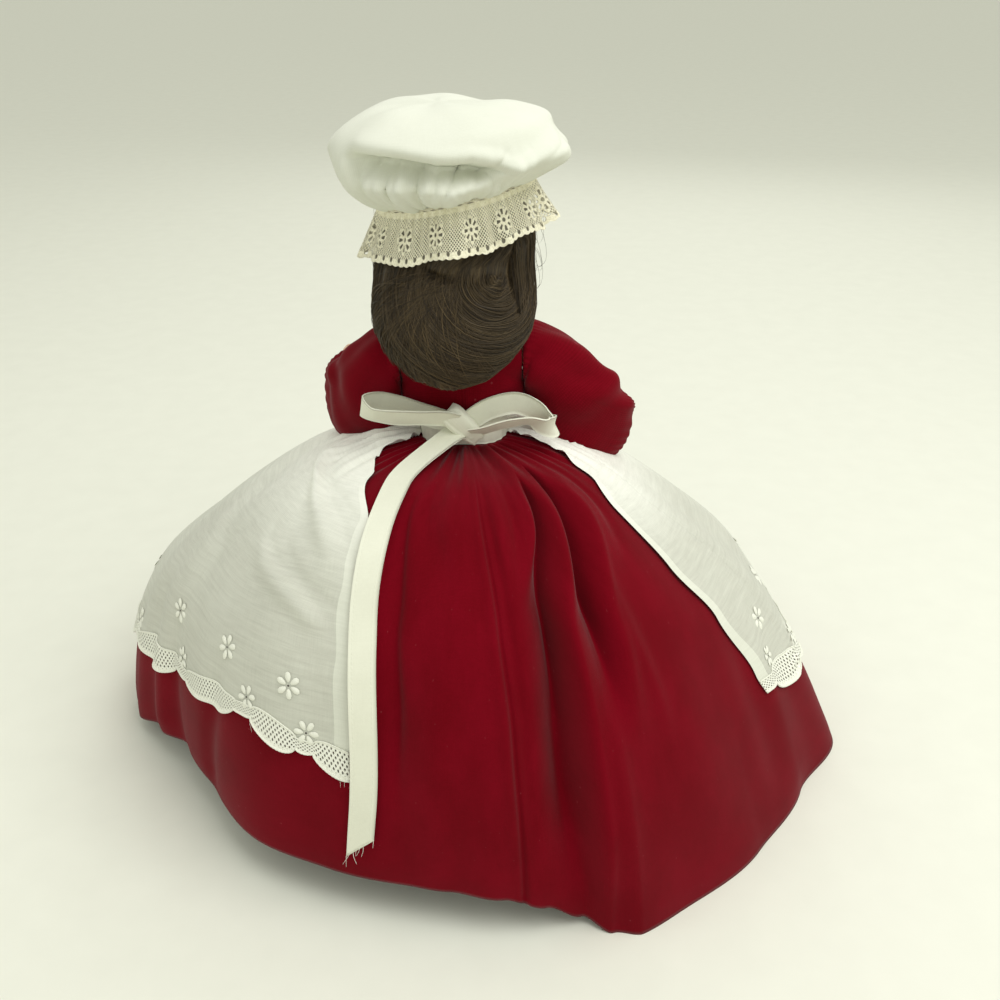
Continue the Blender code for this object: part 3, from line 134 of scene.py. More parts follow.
class Finish:
    """One material: its nodes are made by node(), its shader by done()."""

    def __init__(self, name):
        self.material = bpy.data.materials.new(name)
        self.material.use_nodes = True
        self.tree = self.material.node_tree
        self.shader = self.tree.nodes["Principled BSDF"]

    def node(self, kind, settings=None, inputs=None, output=0):
        made = self.tree.nodes.new(kind)
        for setting, value in (settings or {}).items():
            setattr(made, setting, value)
        for place, value in (inputs or {}).items():
            self.feed(made.inputs[place], value)
        return Field(self, made.outputs[output])

    def feed(self, socket, value):
        """A field is linked to the socket; a written colour, a vector or a number is set."""
        if isinstance(value, Field):
            self.tree.links.new(value.socket, socket)
            return
        if isinstance(value, str):
            value = srgb(value)
        if hasattr(value, "__len__") and len(socket.default_value) == 4:
            value = (*value, 1.0)
        socket.default_value = value

    def place(self, uv=True):
        if uv:
            return self.node("ShaderNodeUVMap", {"uv_map": "cloth"})
        return self.node("ShaderNodeTexCoord", output="Object")

    def split(self, vector):
        node = self.node("ShaderNodeSeparateXYZ", None, {0: vector}).socket.node
        return [Field(self, node.outputs[axis]) for axis in range(3)]

    def joined(self, *parts):
        return self.node("ShaderNodeCombineXYZ", None, dict(enumerate(parts)))

    def stretched(self, vector, scale):
        return self.node("ShaderNodeVectorMath", {"operation": "MULTIPLY"}, {0: vector, 1: scale})

    def noise(self, vector, scale, detail=2.0, roughness=0.5):
        inputs = {"Vector": vector, "Scale": scale, "Detail": detail, "Roughness": roughness}
        return self.node("ShaderNodeTexNoise", None, inputs, "Fac")

    def mix(self, share, low, high):
        return self.node("ShaderNodeMix", {"data_type": "RGBA"}, {0: share, 6: low, 7: high}, 2)

    def bump(self, height, distance, strength=1.0, under=None):
        inputs = {"Height": height, "Distance": distance, "Strength": strength}
        if under is not None:
            inputs["Normal"] = under
        return self.node("ShaderNodeBump", None, inputs)

    def done(self, colour, roughness, normal=None, **sockets):
        self.feed(self.shader.inputs["Base Color"], colour)
        self.feed(self.shader.inputs["Roughness"], roughness)
        if normal is not None:
            self.feed(self.shader.inputs["Normal"], normal)
        for name, value in sockets.items():
            self.feed(self.shader.inputs[name.replace("_", " ")], value)
        return self.material


STITCH_PITCH = 1.9 * MM


def srgb(code):
    """A written colour such as 6E1A2C as linear numbers."""
    parts = [int(code[place:place + 2], 16) / 255.0 for place in (0, 2, 4)]
    return tuple(part / 12.92 if part <= 0.04045 else ((part + 0.055) / 1.055) ** 2.4
                 for part in parts)


def crossed(u, v, pitch):
    """Humps in a chequer: |sin(pi u / pitch) sin(pi v / pitch)|."""
    return ((u * (math.pi / pitch)).sine() * (v * (math.pi / pitch)).sine()).size()


def weave(finish, place, pitch, slub=0.35):
    """A plain weave: warp and weft humps that alternate, with uneven threads."""
    u, v, _ = finish.split(place)
    humps = crossed(u, v, pitch)
    along = finish.noise(finish.stretched(place, (1.0, 0.04, 1.0)), 1.2 / pitch, 1.0)
    across = finish.noise(finish.stretched(place, (0.04, 1.0, 1.0)), 1.2 / pitch, 1.0)
    return humps * (1.0 - slub) + (along + across) * slub


def cotton(name, dark, light, pitch=0.42 * MM, roughness=0.86, wear=0.35, sheen=0.12,
           stitches=(), stitch_wide=0.0, shine=0.25):
    """Woven cotton on its own cloth coordinates, with soft patches and lint."""
    finish = Finish(name)
    place = finish.place()
    threads = weave(finish, place, pitch)
    patches = finish.noise(place, 28.0, 4.0, 0.62)
    fine = finish.noise(place, 900.0, 3.0, 0.7)
    share = patches.step(0.3, 0.7) * wear + threads * 0.45 + fine * 0.25 - 0.15
    colour = finish.mix(share.at_least(0.0).at_most(1.0), dark, light)
    lint = finish.noise(place, 420.0, 1.0).step(0.765, 0.80) * 0.18
    colour = finish.mix(lint, colour, tuple(min(1.0, part * 1.3 + 0.12) for part in srgb(light)))
    height = threads * 0.5 + fine * 0.35
    for at, tall in stitches:
        height = height + sewn_line(finish, place, at, stitch_wide) * tall
    normal = finish.bump(height, 0.10 * MM, 0.55)
    rough = patches * 0.08 + (roughness - 0.04)
    return finish.done(colour, rough, normal, Sheen_Weight=sheen, Sheen_Roughness=0.4,
                       Specular_IOR_Level=shine)


def sewn_line(finish, place, at, wide):
    """A row of stitches along U at one V: short humps, one every STITCH_PITCH."""
    u, v, _ = finish.split(place)
    near = ((v - at) / wide).size().fall(0.0, 1.0)
    return near * (u * (2.0 * math.pi / STITCH_PITCH)).sine().step(-0.5, 0.4)


# ---- Meshes ----

def read_table(rows, values, column=1):
    """Smooth steps through a table of rows, for a whole array of values."""
    table = np.array(rows, float)
    values = np.clip(values, table[0, 0], table[-1, 0])
    place = np.clip(np.searchsorted(table[:, 0], values, side="left") - 1, 0, len(table) - 2)
    low, high = table[place], table[place + 1]
    step = (values - low[..., 0]) / (high[..., 0] - low[..., 0])
    smooth = step * step * (3.0 - 2.0 * step)
    return low[..., column] + (high[..., column] - low[..., column]) * smooth


def curve_through(points, count):
    """A Catmull-Rom curve through points, at count even places of its parameter."""
    points = np.array(points, float)
    place = np.linspace(0.0, len(points) - 1 - 1e-9, count)
    span = place.astype(int)
    step = (place - span)[:, None]
    last = len(points) - 1
    before, start = points[np.maximum(span - 1, 0)], points[span]
    end, after = points[span + 1], points[np.minimum(span + 2, last)]
    return 0.5 * (2 * start + (end - before) * step
                  + (2 * before - 5 * start + 4 * end - after) * step ** 2
                  + (3 * start - before - 3 * end + after) * step ** 3)


def quads(rows, columns, wrap_rows=False, wrap_columns=False):
    """Faces of a grid, and the places of their corners in a grid of its cloth coordinates."""
    row, column = np.meshgrid(np.arange(rows if wrap_rows else rows - 1),
                              np.arange(columns if wrap_columns else columns - 1), indexing="ij")
    corners = ((row, column), (row, column + 1), (row + 1, column + 1), (row + 1, column))
    faces = np.stack([(r % rows) * columns + c % columns for r, c in corners], -1)
    wide = columns + int(wrap_columns)
    places = np.stack([r * wide + c for r, c in corners], -1)
    return faces.reshape(-1, 4), places.reshape(-1, 4)


def unit(vectors, least=1e-12):
    """Vectors made one long.  least keeps those that are almost nothing from blowing up."""
    return vectors / np.maximum(np.linalg.norm(vectors, axis=-1, keepdims=True), least)


def square_to(vectors, along):
    """Unit vectors less what they share with the unit directions along."""
    return unit(vectors - (vectors * along).sum(-1, keepdims=True) * along)


def headings(path, least=1e-12):
    """Unit directions along a path of points."""
    return unit(np.gradient(path, axis=-2), least)


def turns(count):
    """Angles evenly round a circle, in radians, as one row."""
    return np.linspace(0.0, 2.0 * np.pi, count, endpoint=False)[None, :]


def signed_power(value, power):
    """A value's size to a power, with its sign."""
    return np.sign(value) * np.abs(value) ** power


def smoothed(values, count):
    """The mean of an odd count of neighbours, with the ends held."""
    kernel = np.ones(count) / count
    return np.convolve(np.pad(values, count // 2, "edge"), kernel, "valid")


def grid_normals(grid, wrap_columns):
    """Unit normals of a grid, from its slopes along the rows and columns."""
    if wrap_columns:
        padded = np.concatenate([grid[:, -1:], grid, grid[:, :1]], 1)
        across = (padded[:, 2:] - padded[:, :-2]) / 2.0
    else:
        across = np.gradient(grid, axis=1)
    down = np.gradient(grid, axis=0)
    return unit(np.cross(across, down))


def add_object(name, data):
    made = bpy.data.objects.new(name, data)
    bpy.context.scene.collection.objects.link(made)
    return made


def add_mesh(name, points, faces, material, uv=None, smooth=True):
    """An object at the origin from arrays: points, faces with as many sides each, and the
    cloth coordinates of the faces' corners."""
    mesh = bpy.data.meshes.new(name)
    mesh.vertices.add(len(points))
    mesh.vertices.foreach_set("co", points.astype(np.float32).ravel())
    mesh.loops.add(faces.size)
    mesh.loops.foreach_set("vertex_index", faces.astype(np.int32).ravel())
    mesh.polygons.add(len(faces))
    starts = np.arange(0, faces.size, faces.shape[1], dtype=np.int32)
    mesh.polygons.foreach_set("loop_start", starts)
    mesh.update(calc_edges=True)
    if uv is not None:
        layer = mesh.uv_layers.new(name="cloth")
        layer.data.foreach_set("uv", uv.astype(np.float32).ravel())
    mesh.polygons.foreach_set("use_smooth", np.full(len(mesh.polygons), smooth))
    mesh.materials.append(material)
    mesh.validate()
    return add_object(name, mesh)


def inside_out(points, faces):
    """Whether the faces enclose a negative volume: the sum of a . (b x c) over triangles."""
    a, *others = (points[faces[:, corner]] for corner in range(faces.shape[1]))
    return sum((a * np.cross(b, c)).sum() for b, c in zip(others, others[1:])) < 0.0


def loop_piece(name, grid, material, flat, ends=False):
    """A tube-like closed mesh: a grid whose columns join up, and either its rows join up too or
    its two ends are closed by fans.

    flat is the width and length in metres that its cloth coordinates run over."""
    rows, columns = grid.shape[:2]
    points = grid.reshape(-1, 3)
    faces, places = quads(rows, columns, not ends, True)
    uv_grid = grid_uv(rows, columns, flat, True, not ends)
    uv = uv_grid.reshape(-1, 2)[places].reshape(-1, 2)
    if ends:
        middle = np.array([grid[0].mean(0), grid[-1].mean(0)])
        points = np.concatenate([points, middle])
        column = np.arange(columns)
        after = (column + 1) % columns
        first = np.stack([after, column, np.full(columns, rows * columns)], -1)
        last = (rows - 1) * columns
        second = np.stack([last + column, last + after, np.full(columns, rows * columns + 1)], -1)
        triangles = np.concatenate([faces[:, [0, 1, 2]], faces[:, [0, 2, 3]], first, second])
        corner = uv.reshape(-1, 4, 2)
        fan = np.zeros((2 * columns, 3, 2))
        fan[:, :, 0] = np.tile(uv_grid[0, :columns, 0], 2)[:, None]
        fan[columns:, :, 1] = flat[1]
        uv = np.concatenate([corner[:, [0, 1, 2]], corner[:, [0, 2, 3]], fan]).reshape(-1, 2)
        faces = triangles
    if inside_out(points, faces):
        faces = faces[:, ::-1]
        uv = uv.reshape(len(faces), -1, 2)[:, ::-1].reshape(-1, 2)
    return add_mesh(name, points, faces, material, uv)


def grid_uv(rows, columns, flat, wrap_columns=False, wrap_rows=False):
    """Cloth coordinates of a grid: its columns run over flat's width, its rows over its length."""
    wide = np.linspace(0.0, flat[0], columns + int(wrap_columns))
    long = np.linspace(0.0, flat[1], rows + int(wrap_rows))
    return np.stack(np.meshgrid(wide, long), -1)


def hole_rims(faces, places, keep, count):
    """Quads between the two sides of a cloth round the faces that were left out."""
    kept, cut = faces[keep], faces[~keep]
    starts, ends = kept.reshape(-1), np.roll(kept, -1, 1).reshape(-1)
    gone = set(zip(np.roll(cut, -1, 1).reshape(-1).tolist(), cut.reshape(-1).tolist()))
    edge = np.array([pair in gone for pair in zip(starts.tolist(), ends.tolist())])
    start_place = places[keep].reshape(-1)[edge]
    end_place = np.roll(places[keep], -1, 1).reshape(-1)[edge]
    a, b = starts[edge], ends[edge]
    return (np.stack([b, a, a + count, b + count], -1),
            np.stack([end_place, start_place, start_place, end_place], -1))


def cloth_shell(name, grid, inner, material, flat, wrap=False, pole=False, uv_grid=None,
                keep=None):
    """Cloth with two sides: a grid and an inner one, with rims where they end.  inner may be a
    wall's thickness instead: then it is the grid moved by the wall against its normals.

    With wrap, the columns join up.  With pole, the first row closes to a point on both sides.
    keep marks the faces that stay, and the holes that the others leave get rims."""
    rows, columns = grid.shape[:2]
    if not isinstance(inner, np.ndarray):
        inner = grid - grid_normals(grid, wrap) * inner
    points = np.concatenate([grid.reshape(-1, 3), inner.reshape(-1, 3)])
    count = rows * columns
    faces, places = quads(rows, columns, False, wrap)
    if uv_grid is None:
        uv_grid = grid_uv(rows, columns, flat, wrap)
    spread = uv_grid.shape[1]
    uv_flat = uv_grid.reshape(-1, 2)
    keep = np.ones(len(faces), bool) if keep is None else keep
    all_faces = [faces[keep], faces[keep][:, [0, 3, 2, 1]] + count]
    all_places = [places[keep], places[keep][:, [0, 3, 2, 1]]]
    if not keep.all():
        rim, rim_places = hole_rims(faces, places, keep, count)
        all_faces.append(rim)
        all_places.append(rim_places)
    column = np.arange(columns if wrap else columns - 1)
    after = (column + 1) % columns
    ends = [(rows - 1, 1)] if pole else [(rows - 1, 1), (0, -1)]
    for row, way in ends:
        start = row * columns
        rim = np.stack([start + after, start + column, count + start + column,
                        count + start + after], -1)[:, ::way]
        all_faces.append(rim)
        at = row * spread + column
        all_places.append(np.stack([at + 1, at, at, at + 1], -1)[:, ::way])
    if not wrap:
        row = np.arange(rows - 1)
        for side, way in ((0, 1), (columns - 1, -1)):
            low, high = row * columns + side, (row + 1) * columns + side
            all_faces.append(np.stack([low, high, count + high, count + low], -1)[:, ::way])
            at = row * spread + side
            all_places.append(np.stack([at, at + spread, at + spread, at], -1)[:, ::way])
    faces, places = np.concatenate(all_faces), np.concatenate(all_places)
    if pole:
        points = np.concatenate([points, [grid[0].mean(0), inner[0].mean(0)]])
        tip = len(points) - 2
        fan = np.stack([after, column, np.full(len(column), tip)], -1)
        back = np.stack([count + column, count + after, np.full(len(column), tip + 1)], -1)
        fan_places = np.stack([column + 1, column, column], -1)
        faces = np.concatenate([faces[:, [0, 1, 2]], faces[:, [0, 2, 3]], fan, back])
        places = np.concatenate([places[:, [0, 1, 2]], places[:, [0, 2, 3]], fan_places,
                                 fan_places[:, ::-1]])
    if inside_out(points, faces):
        faces, places = faces[:, ::-1], places[:, ::-1]
    return add_mesh(name, points, faces, material, uv_flat[places].reshape(-1, 2))


def dress_piece(piece, body, slot, *nodes):
    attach(piece, body)
    if nodes:
        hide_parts(*nodes)
    return piece


def waves(values, lengths, seed):
    """A sum of sines with seeded phases: gentle unevenness along one or two directions."""
    draw = np.random.default_rng(seed)
    total = 0.0
    for length in lengths:
        phase, tilt = draw.uniform(0.0, 2.0 * np.pi, 2)
        total = total + np.sin(values[0] * length + phase + 1.3 * np.sin(values[1] + tilt))
    return total / len(lengths)


def bell(value, middle, wide):
    """A bell: exp(-((value - middle) / wide) squared)."""
    return np.exp(-((value - middle) / wide) ** 2)


def ramp(value, low, high):
    """A smooth step from 0 to 1 while the value goes from low to high."""
    step = np.clip((value - low) / (high - low), 0.0, 1.0)
    return step * step * (3.0 - 2.0 * step)


def ramp_down(value, low, high):
    return 1.0 - ramp(value, low, high)


def plateau(value, rise, full, still, end):
    """1 from full to still, with a smooth step up from rise and one down to end."""
    return ramp(value, rise, full) * ramp_down(value, still, end)


def from_line(degrees, line=0.0):
    """Degrees from a line to an angle, the shorter way round."""
    return (degrees - line + 180.0) % 360.0 - 180.0


# ---- The skirt's surface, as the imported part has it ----

SKIRT_RADIUS = 150.0 * MM
SKIRT_HEIGHT = 139.0 * MM
SKIRT_PROFILE = np.array((
    (0.00, 0.115, 1.000), (0.10, 0.220, 1.000), (0.20, 0.335, 0.985), (0.32, 0.465, 0.925),
    (0.46, 0.615, 0.800), (0.62, 0.745, 0.645), (0.78, 0.855, 0.440), (0.88, 0.925, 0.265),
    (0.97, 0.985, 0.065), (1.00, 1.000, 0.000),
))
HEM_LIFT = 17.0 * MM
HEM_SHARES = (
    (-180.0, 0.920, 0.00), (-150.0, 0.945, 0.00), (-122.0, 0.955, 0.00), (-106.0, 1.000, 0.05),
    (-95.0, 1.015, 0.15), (-87.0, 0.965, 0.40), (-78.0, 0.875, 0.85), (-70.0, 0.805, 1.00),
    (-56.0, 0.785, 1.00), (-40.0, 0.800, 1.00), (-24.0, 0.780, 1.00), (-10.0, 0.775, 1.00),
    (-2.0, 0.785, 1.00), (7.0, 0.810, 0.95), (14.0, 0.825, 0.70), (20.0, 0.830, 0.25),
    (24.0, 0.880, 0.00), (28.0, 0.913, 0.00), (36.0, 0.908, 0.00), (54.0, 0.932, 0.00),
    (70.0, 0.967, 0.00), (84.0, 1.062, 0.00), (92.0, 1.045, 0.00), (104.0, 0.995, 0.00),
    (124.0, 0.945, 0.00), (152.0, 0.935, 0.00), (180.0, 0.920, 0.00),
)
DOME_DROP = 12.0 * MM
SIDE_SWELL = 8.0 * MM
SIDE_SHARES = (
    (-180.0, 0.80, 0.20), (-135.0, 1.00, 0.40), (-95.0, 1.00, 1.00), (-60.0, 0.40, 0.80),
    (-35.0, 0.00, 0.20), (0.0, 0.00, 0.00), (40.0, 0.00, 0.00), (70.0, 0.60, -0.30),
    (88.0, 0.80, -0.75), (105.0, 1.00, -0.15), (140.0, 1.00, 0.30), (180.0, 0.80, 0.20),
)
FOLD_DEPTH = 3.5 * MM
FOLD_SHARES = (
    (-180.0, 1.0), (-163.0, -1.0), (-147.0, 1.0), (-128.0, -0.8), (-110.0, 0.8), (-96.0, 0.0),
    (92.0, 0.0), (106.0, 0.9), (124.0, -0.8), (143.0, 1.0), (162.0, -1.0), (180.0, 1.0),
)
FOLD_QUARTERS = (0.25, 0.50, 0.75, 1.00)
BACK_FOLDS = (
    ((29.0, 18.5, 17.8, 18.0), 4.0, -6.5 * MM, (0.12, 0.34, 0.82, 1.00)),
    ((32.0, 23.8, 24.3, 24.5), 3.6, 4.5 * MM, (0.12, 0.30, 0.85, 1.00)),
    ((36.0, 28.6, 27.5, 27.5), 3.4, -5.5 * MM, (0.12, 0.30, 0.50, 0.76)),
    ((44.0, 33.5, 32.0, 32.0), 5.0, 2.5 * MM, (0.12, 0.26, 0.50, 0.80)),
    ((-9.0, -1.0, 0.0, 0.0), 4.0, -2.5 * MM, (0.06, 0.20, 0.32, 0.50)),
    ((-3.0, 0.0, -4.0, -6.0), 5.0, 2.0 * MM, (0.10, 0.26, 0.70, 1.00)),
    ((-18.0, -15.0, -12.5, -12.0), 4.5, -2.5 * MM, (0.20, 0.40, 0.75, 1.00)),
    ((44.0, 47.0, 51.5, 54.0), 7.0, -2.0 * MM, (0.45, 0.75, 0.86, 1.00)),
)
# Creases that only the cloth has: line by quarter, half width, depth, start-full-still-end
FINE_FOLDS = (
    ((27.0, 19.6, 19.0, 19.4), 2.0, -4.0 * MM, (0.14, 0.34, 0.80, 0.97)),
    ((27.4, 20.0, 19.4, 20.4), 0.9, -4.0 * MM, (0.12, 0.26, 0.55, 0.80)),
    ((36.5, 29.0, 27.5, 28.5), 1.9, -3.6 * MM, (0.10, 0.22, 0.50, 0.74)),
    ((36.5, 29.6, 28.2, 29.5), 0.8, -5.0 * MM, (0.10, 0.20, 0.46, 0.68)),
    ((31.0, 23.0, 22.6, 22.8), 1.8, 2.2 * MM, (0.16, 0.30, 0.88, 1.00)),
    ((42.0, 33.0, 31.5, 33.0), 2.0, 2.4 * MM, (0.12, 0.24, 0.50, 0.78)),
    ((6.9, 8.6, 9.7, 10.6), 0.55, -1.5 * MM, (0.03, 0.10, 0.99, 1.01)),
    ((9.0, 10.6, 11.6, 12.4), 1.6, -1.8 * MM, (0.05, 0.20, 0.80, 1.00)),
    ((5.2, 7.2, 8.4, 9.2), 1.3, 1.0 * MM, (0.05, 0.18, 0.80, 1.00)),
    ((-12.0, -5.0, -3.0, -3.0), 2.0, -2.2 * MM, (0.05, 0.16, 0.26, 0.42)),
    ((18.0, 14.0, 13.0, 13.0), 2.0, -2.4 * MM, (0.04, 0.14, 0.26, 0.50)),
    ((12.5, 11.8, 12.0, 12.0), 1.8, 1.6 * MM, (0.04, 0.14, 0.24, 0.44)),
    ((50.0, 42.0, 40.0, 40.0), 2.0, -2.6 * MM, (0.05, 0.14, 0.24, 0.44)),
    ((60.0, 50.0, 46.0, 46.0), 3.0, 1.6 * MM, (0.05, 0.14, 0.22, 0.40)),
    ((24.0, 17.0, 16.0, 16.0), 1.5, 2.0 * MM, (0.04, 0.14, 0.30, 0.46)),
    ((38.0, 36.0, 38.0, 40.0), 1.6, 0.8 * MM, (0.40, 0.52, 0.66, 0.80)),
    ((75.0, 72.0, 70.0, 72.0), 4.0, 1.8 * MM, (0.55, 0.80, 0.95, 1.02)),
    ((60.0, 62.0, 63.0, 64.0), 4.0, -1.6 * MM, (0.60, 0.78, 0.90, 1.00)),
    ((-18.0, -14.0, -11.5, -10.5), 1.3, -2.0 * MM, (0.12, 0.34, 0.72, 0.92)),
    ((-26.0, -20.0, -17.0, -15.0), 2.2, 1.6 * MM, (0.20, 0.40, 0.72, 0.92)),
    ((-50.0, -48.0, -52.0, -56.0), 3.0, -2.0 * MM, (0.60, 0.86, 0.96, 1.02)),
    ((-66.0, -70.0, -74.0, -76.0), 3.0, 1.6 * MM, (0.60, 0.86, 0.96, 1.02)),
)
WAIST_HALF_WIDTH = 15.72 * MM
WAIST_HALF_DEPTH = 12.705 * MM
WAIST_SQUARENESS = 2.5


def profile_at(share):
    """Reach and height of the skirt's side: Hermite curves through the profile's table."""
    table = SKIRT_PROFILE
    span = np.clip(np.searchsorted(table[:, 0], share, side="left") - 1, 0, len(table) - 2)
    start, end = table[span], table[span + 1]
    before, after = table[np.maximum(span - 1, 0)], table[np.minimum(span + 2, len(table) - 1)]
    width = end[..., 0] - start[..., 0]
    step = (share - start[..., 0]) / width
    made = []
    for axis in (1, 2):
        slope_in = (end[..., axis] - before[..., axis]) / (end[..., 0] - before[..., 0]) * width
        slope_out = (after[..., axis] - start[..., axis]) / (after[..., 0] - start[..., 0]) * width
        made.append((2 * step ** 3 - 3 * step ** 2 + 1) * start[..., axis]
                    + (step ** 3 - 2 * step ** 2 + step) * slope_in
                    + (3 * step ** 2 - 2 * step ** 3) * end[..., axis]
                    + (step ** 3 - step ** 2) * slope_out)
    return made


def waist_opening(turn):
    wide = np.abs(np.sin(turn) / WAIST_HALF_WIDTH) ** WAIST_SQUARENESS
    deep = np.abs(np.cos(turn) / WAIST_HALF_DEPTH) ** WAIST_SQUARENESS
    return (wide + deep) ** (-1.0 / WAIST_SQUARENESS)


def fold_depth(folds, degrees, share):
    """Single folds: each is a bell across its own line down the skirt."""
    depth = 0.0
    for places, half_width, height, (start, full, still, end) in folds:
        line = read_table(tuple(zip(FOLD_QUARTERS, places)), share)
        rows = ((start, 0.0), (full, 1.0), (still, 1.0), (end, 0.0))
        depth = depth + height * read_table(rows, share) * bell(degrees, line, half_width)
    return depth


def skirt_surface(degrees, share, fine=False):
    """The skirt's face by angle from the centre back and share of its slant, in metres.

    Reach = the profile, stretched towards the hem's own outline, plus swell and folds; height =
    the profile, less the dome's drop, plus the hem's lift.  fine adds gathers and creases."""
    degrees, share = np.broadcast_arrays(degrees, share)
    degrees = from_line(degrees)
    turn = np.radians(degrees)
    reach, rise = profile_at(share)
    stretch = 1.0 + (read_table(HEM_SHARES, degrees) - 1.0) * share ** 1.3
    radius = SKIRT_RADIUS * reach * stretch
    swell = SIDE_SWELL * read_table(SIDE_SHARES, degrees, 2)
    radius = radius + swell * 6.75 * share ** 2 * (1 - share)
    radius = radius + FOLD_DEPTH * read_table(FOLD_SHARES, degrees) * share ** 1.2
    radius = radius + fold_depth(BACK_FOLDS, degrees, share)
    opened = np.minimum(1.0, share / SKIRT_PROFILE[1, 0])
    radius = waist_opening(turn) * (1.0 - opened) + radius * opened
    dome = DOME_DROP * read_table(SIDE_SHARES, degrees)
    height = SKIRT_HEIGHT * rise - dome * 28.9 * share ** 2 * (1 - share) ** 3
    height = height + HEM_LIFT * read_table(HEM_SHARES, degrees, 2) * share ** 3
    if fine:
        radius = radius + fold_depth(FINE_FOLDS, degrees, share)
        behind = bell(degrees, 8.0, 34.0)
        gathers = (1.0 - 0.7 * behind) * np.sin(turn * 44.0 + 2.2 * np.sin(turn * 7.0)) \
            + 0.7 * np.sin(turn * 27.0 + 1.0) + 1.1 * behind * np.sin(turn * 15.0 + 0.6)
        fade = plateau(share, 0.015, 0.05, 0.07, 0.26)
        height = height + 0.75 * MM * gathers * fade
        drift = waves((turn, share * 5.0), (3.0, 5.0, 8.0, 11.0), 3)
        radius = radius + 0.8 * MM * drift * plateau(share, 0.3, 0.8, 0.9, 1.0)
    return np.stack([-radius * np.sin(turn), radius * np.cos(turn), height], -1)


def skirt_lifted(degrees, share, lift, fine=False):
    """Points off the skirt's face, along its own normal."""
    degrees, share = np.broadcast_arrays(degrees, share)
    low, high = np.maximum(share - 2e-3, 0.0), np.minimum(share + 2e-3, 1.0)
    down = skirt_surface(degrees, high) - skirt_surface(degrees, low)
    beside = skirt_surface(degrees + 0.1, share) - skirt_surface(degrees - 0.1, share)
    normal = unit(np.cross(beside, down))
    point = skirt_surface(degrees, share, fine)
    outwards = point.copy()
    outwards[..., 2] = SKIRT_HEIGHT
    facing = (normal * outwards).sum(-1, keepdims=True)
    normal = normal * np.where(facing < 0.0, -1.0, 1.0)
    return point + normal * np.asarray(lift)[..., None]


# ---- Finishes of the doll ----

BURGUNDY = cotton("burgundy_cotton", "5A0209", "880A20", 0.46 * MM, 0.9, 0.2, 0.11,
                  shine=0.03)
BLUE = cotton("blue_cotton", "42546E", "6C809C", 0.40 * MM, 0.86, 0.4, 0.2)
CAP_COTTON = cotton("cap_cotton", "D3D5C6", "E8EADD", 0.40 * MM, 0.86, 0.2, 0.08)
TIE_COTTON = cotton("tie_cotton", "D8D9C6", "EEEFDD", 0.40 * MM, 0.82, 0.3, 0.12,
                    ((1.3 * MM, 1.0), (7.9 * MM, 1.0)), 0.35 * MM)


def lawn_finish():
    """Thin see-through lawn: threads and slubs, opaque where V is near a hem. Its colour is paler
    near its top and greyer below: painted light and painted shade.
    """
    finish = Finish("white_lawn")
    place = finish.place()
    u, v, _ = finish.split(place)
    threads = weave(finish, place, 0.40 * MM, 0.5)
    slubs = finish.noise(finish.stretched(place, (0.06, 1.0, 1.0)), 700.0, 3.0, 0.65)
    patches = finish.noise(place, 22.0, 3.0)
    share = threads * 0.5 + slubs * 0.5
    # high is 1 near the top and 0 lower down: in the colour it paints light near the top and shade
    # below, in the alpha it makes the top more opaque
    high = (v + patches * 0.02).fall(0.030, 0.085)
    dark = finish.mix(high, "C6C8B8", "EAECDE")
    colour = finish.mix(share, dark, finish.mix(high, "E6E8DA", "FFFFF6"))
    hem = (u - 6.0 * MM).fall(0.0, 0.4 * MM)
    far_hem = (u - (APRON_FLAT[0] - 6.0 * MM)).step(0.0, 0.4 * MM)
    solid = (hem + far_hem).at_most(1.0)
    alpha = 0.62 + high * 0.20 + slubs * 0.16 + threads * 0.10 + patches * 0.06 + solid * 0.3
    normal = finish.bump(threads * 0.6 + slubs * 0.5 + solid * 1.5, 0.10 * MM, 0.4)
    return finish.done(colour, 0.85, normal, Alpha=alpha.at_most(1.0), Sheen_Weight=0.15,
                       Specular_IOR_Level=0.2)


APRON_FLAT = (0.560, 0.128)


def net_finish(name, dark, light, pitch, wide):
    """Embroidered net: slanted rows of holes between a stitched top and a corded edge.

    U runs along the strip and V across it, from 0 at the top to wide at the edge."""
    finish = Finish(name)
    place = finish.place()
    u, v, _ = finish.split(place)
    hole = crossed(u + v, u - v, pitch).step(0.58, 0.74)
    inside = v.step(0.7 * MM, 1.1 * MM) * (v - (wide - 1.5 * MM)).fall(0.0, 0.4 * MM)
    fine = finish.noise(place, 1400.0, 3.0, 0.7)
    alpha = 1.0 - hole * inside * 0.93
    # The colour is darker at the holes: painted shade in them
    colour = finish.mix(fine.step(0.3, 0.7) * (1.0 - hole * 0.5), dark, light)
    height = (1.0 - hole * inside) * 1.0 + fine * 0.6
    normal = finish.bump(height, 0.2 * MM, 0.8)
    return finish.done(colour, 0.88, normal, Alpha=alpha, Specular_IOR_Level=0.2)


LAWN = lawn_finish()
STITCHES = cotton("white_stitching", "DFE0D0", "FAFBF0", 0.25 * MM, 0.7, 0.2, 0.3)


def oval(u, v, middle, half):
    """Below 1 inside an ellipse on the cloth coordinates, 1 on its edge."""
    return ((u - middle[0]) / half[0]) ** 2.0 + ((v - middle[1]) / half[1]) ** 2.0


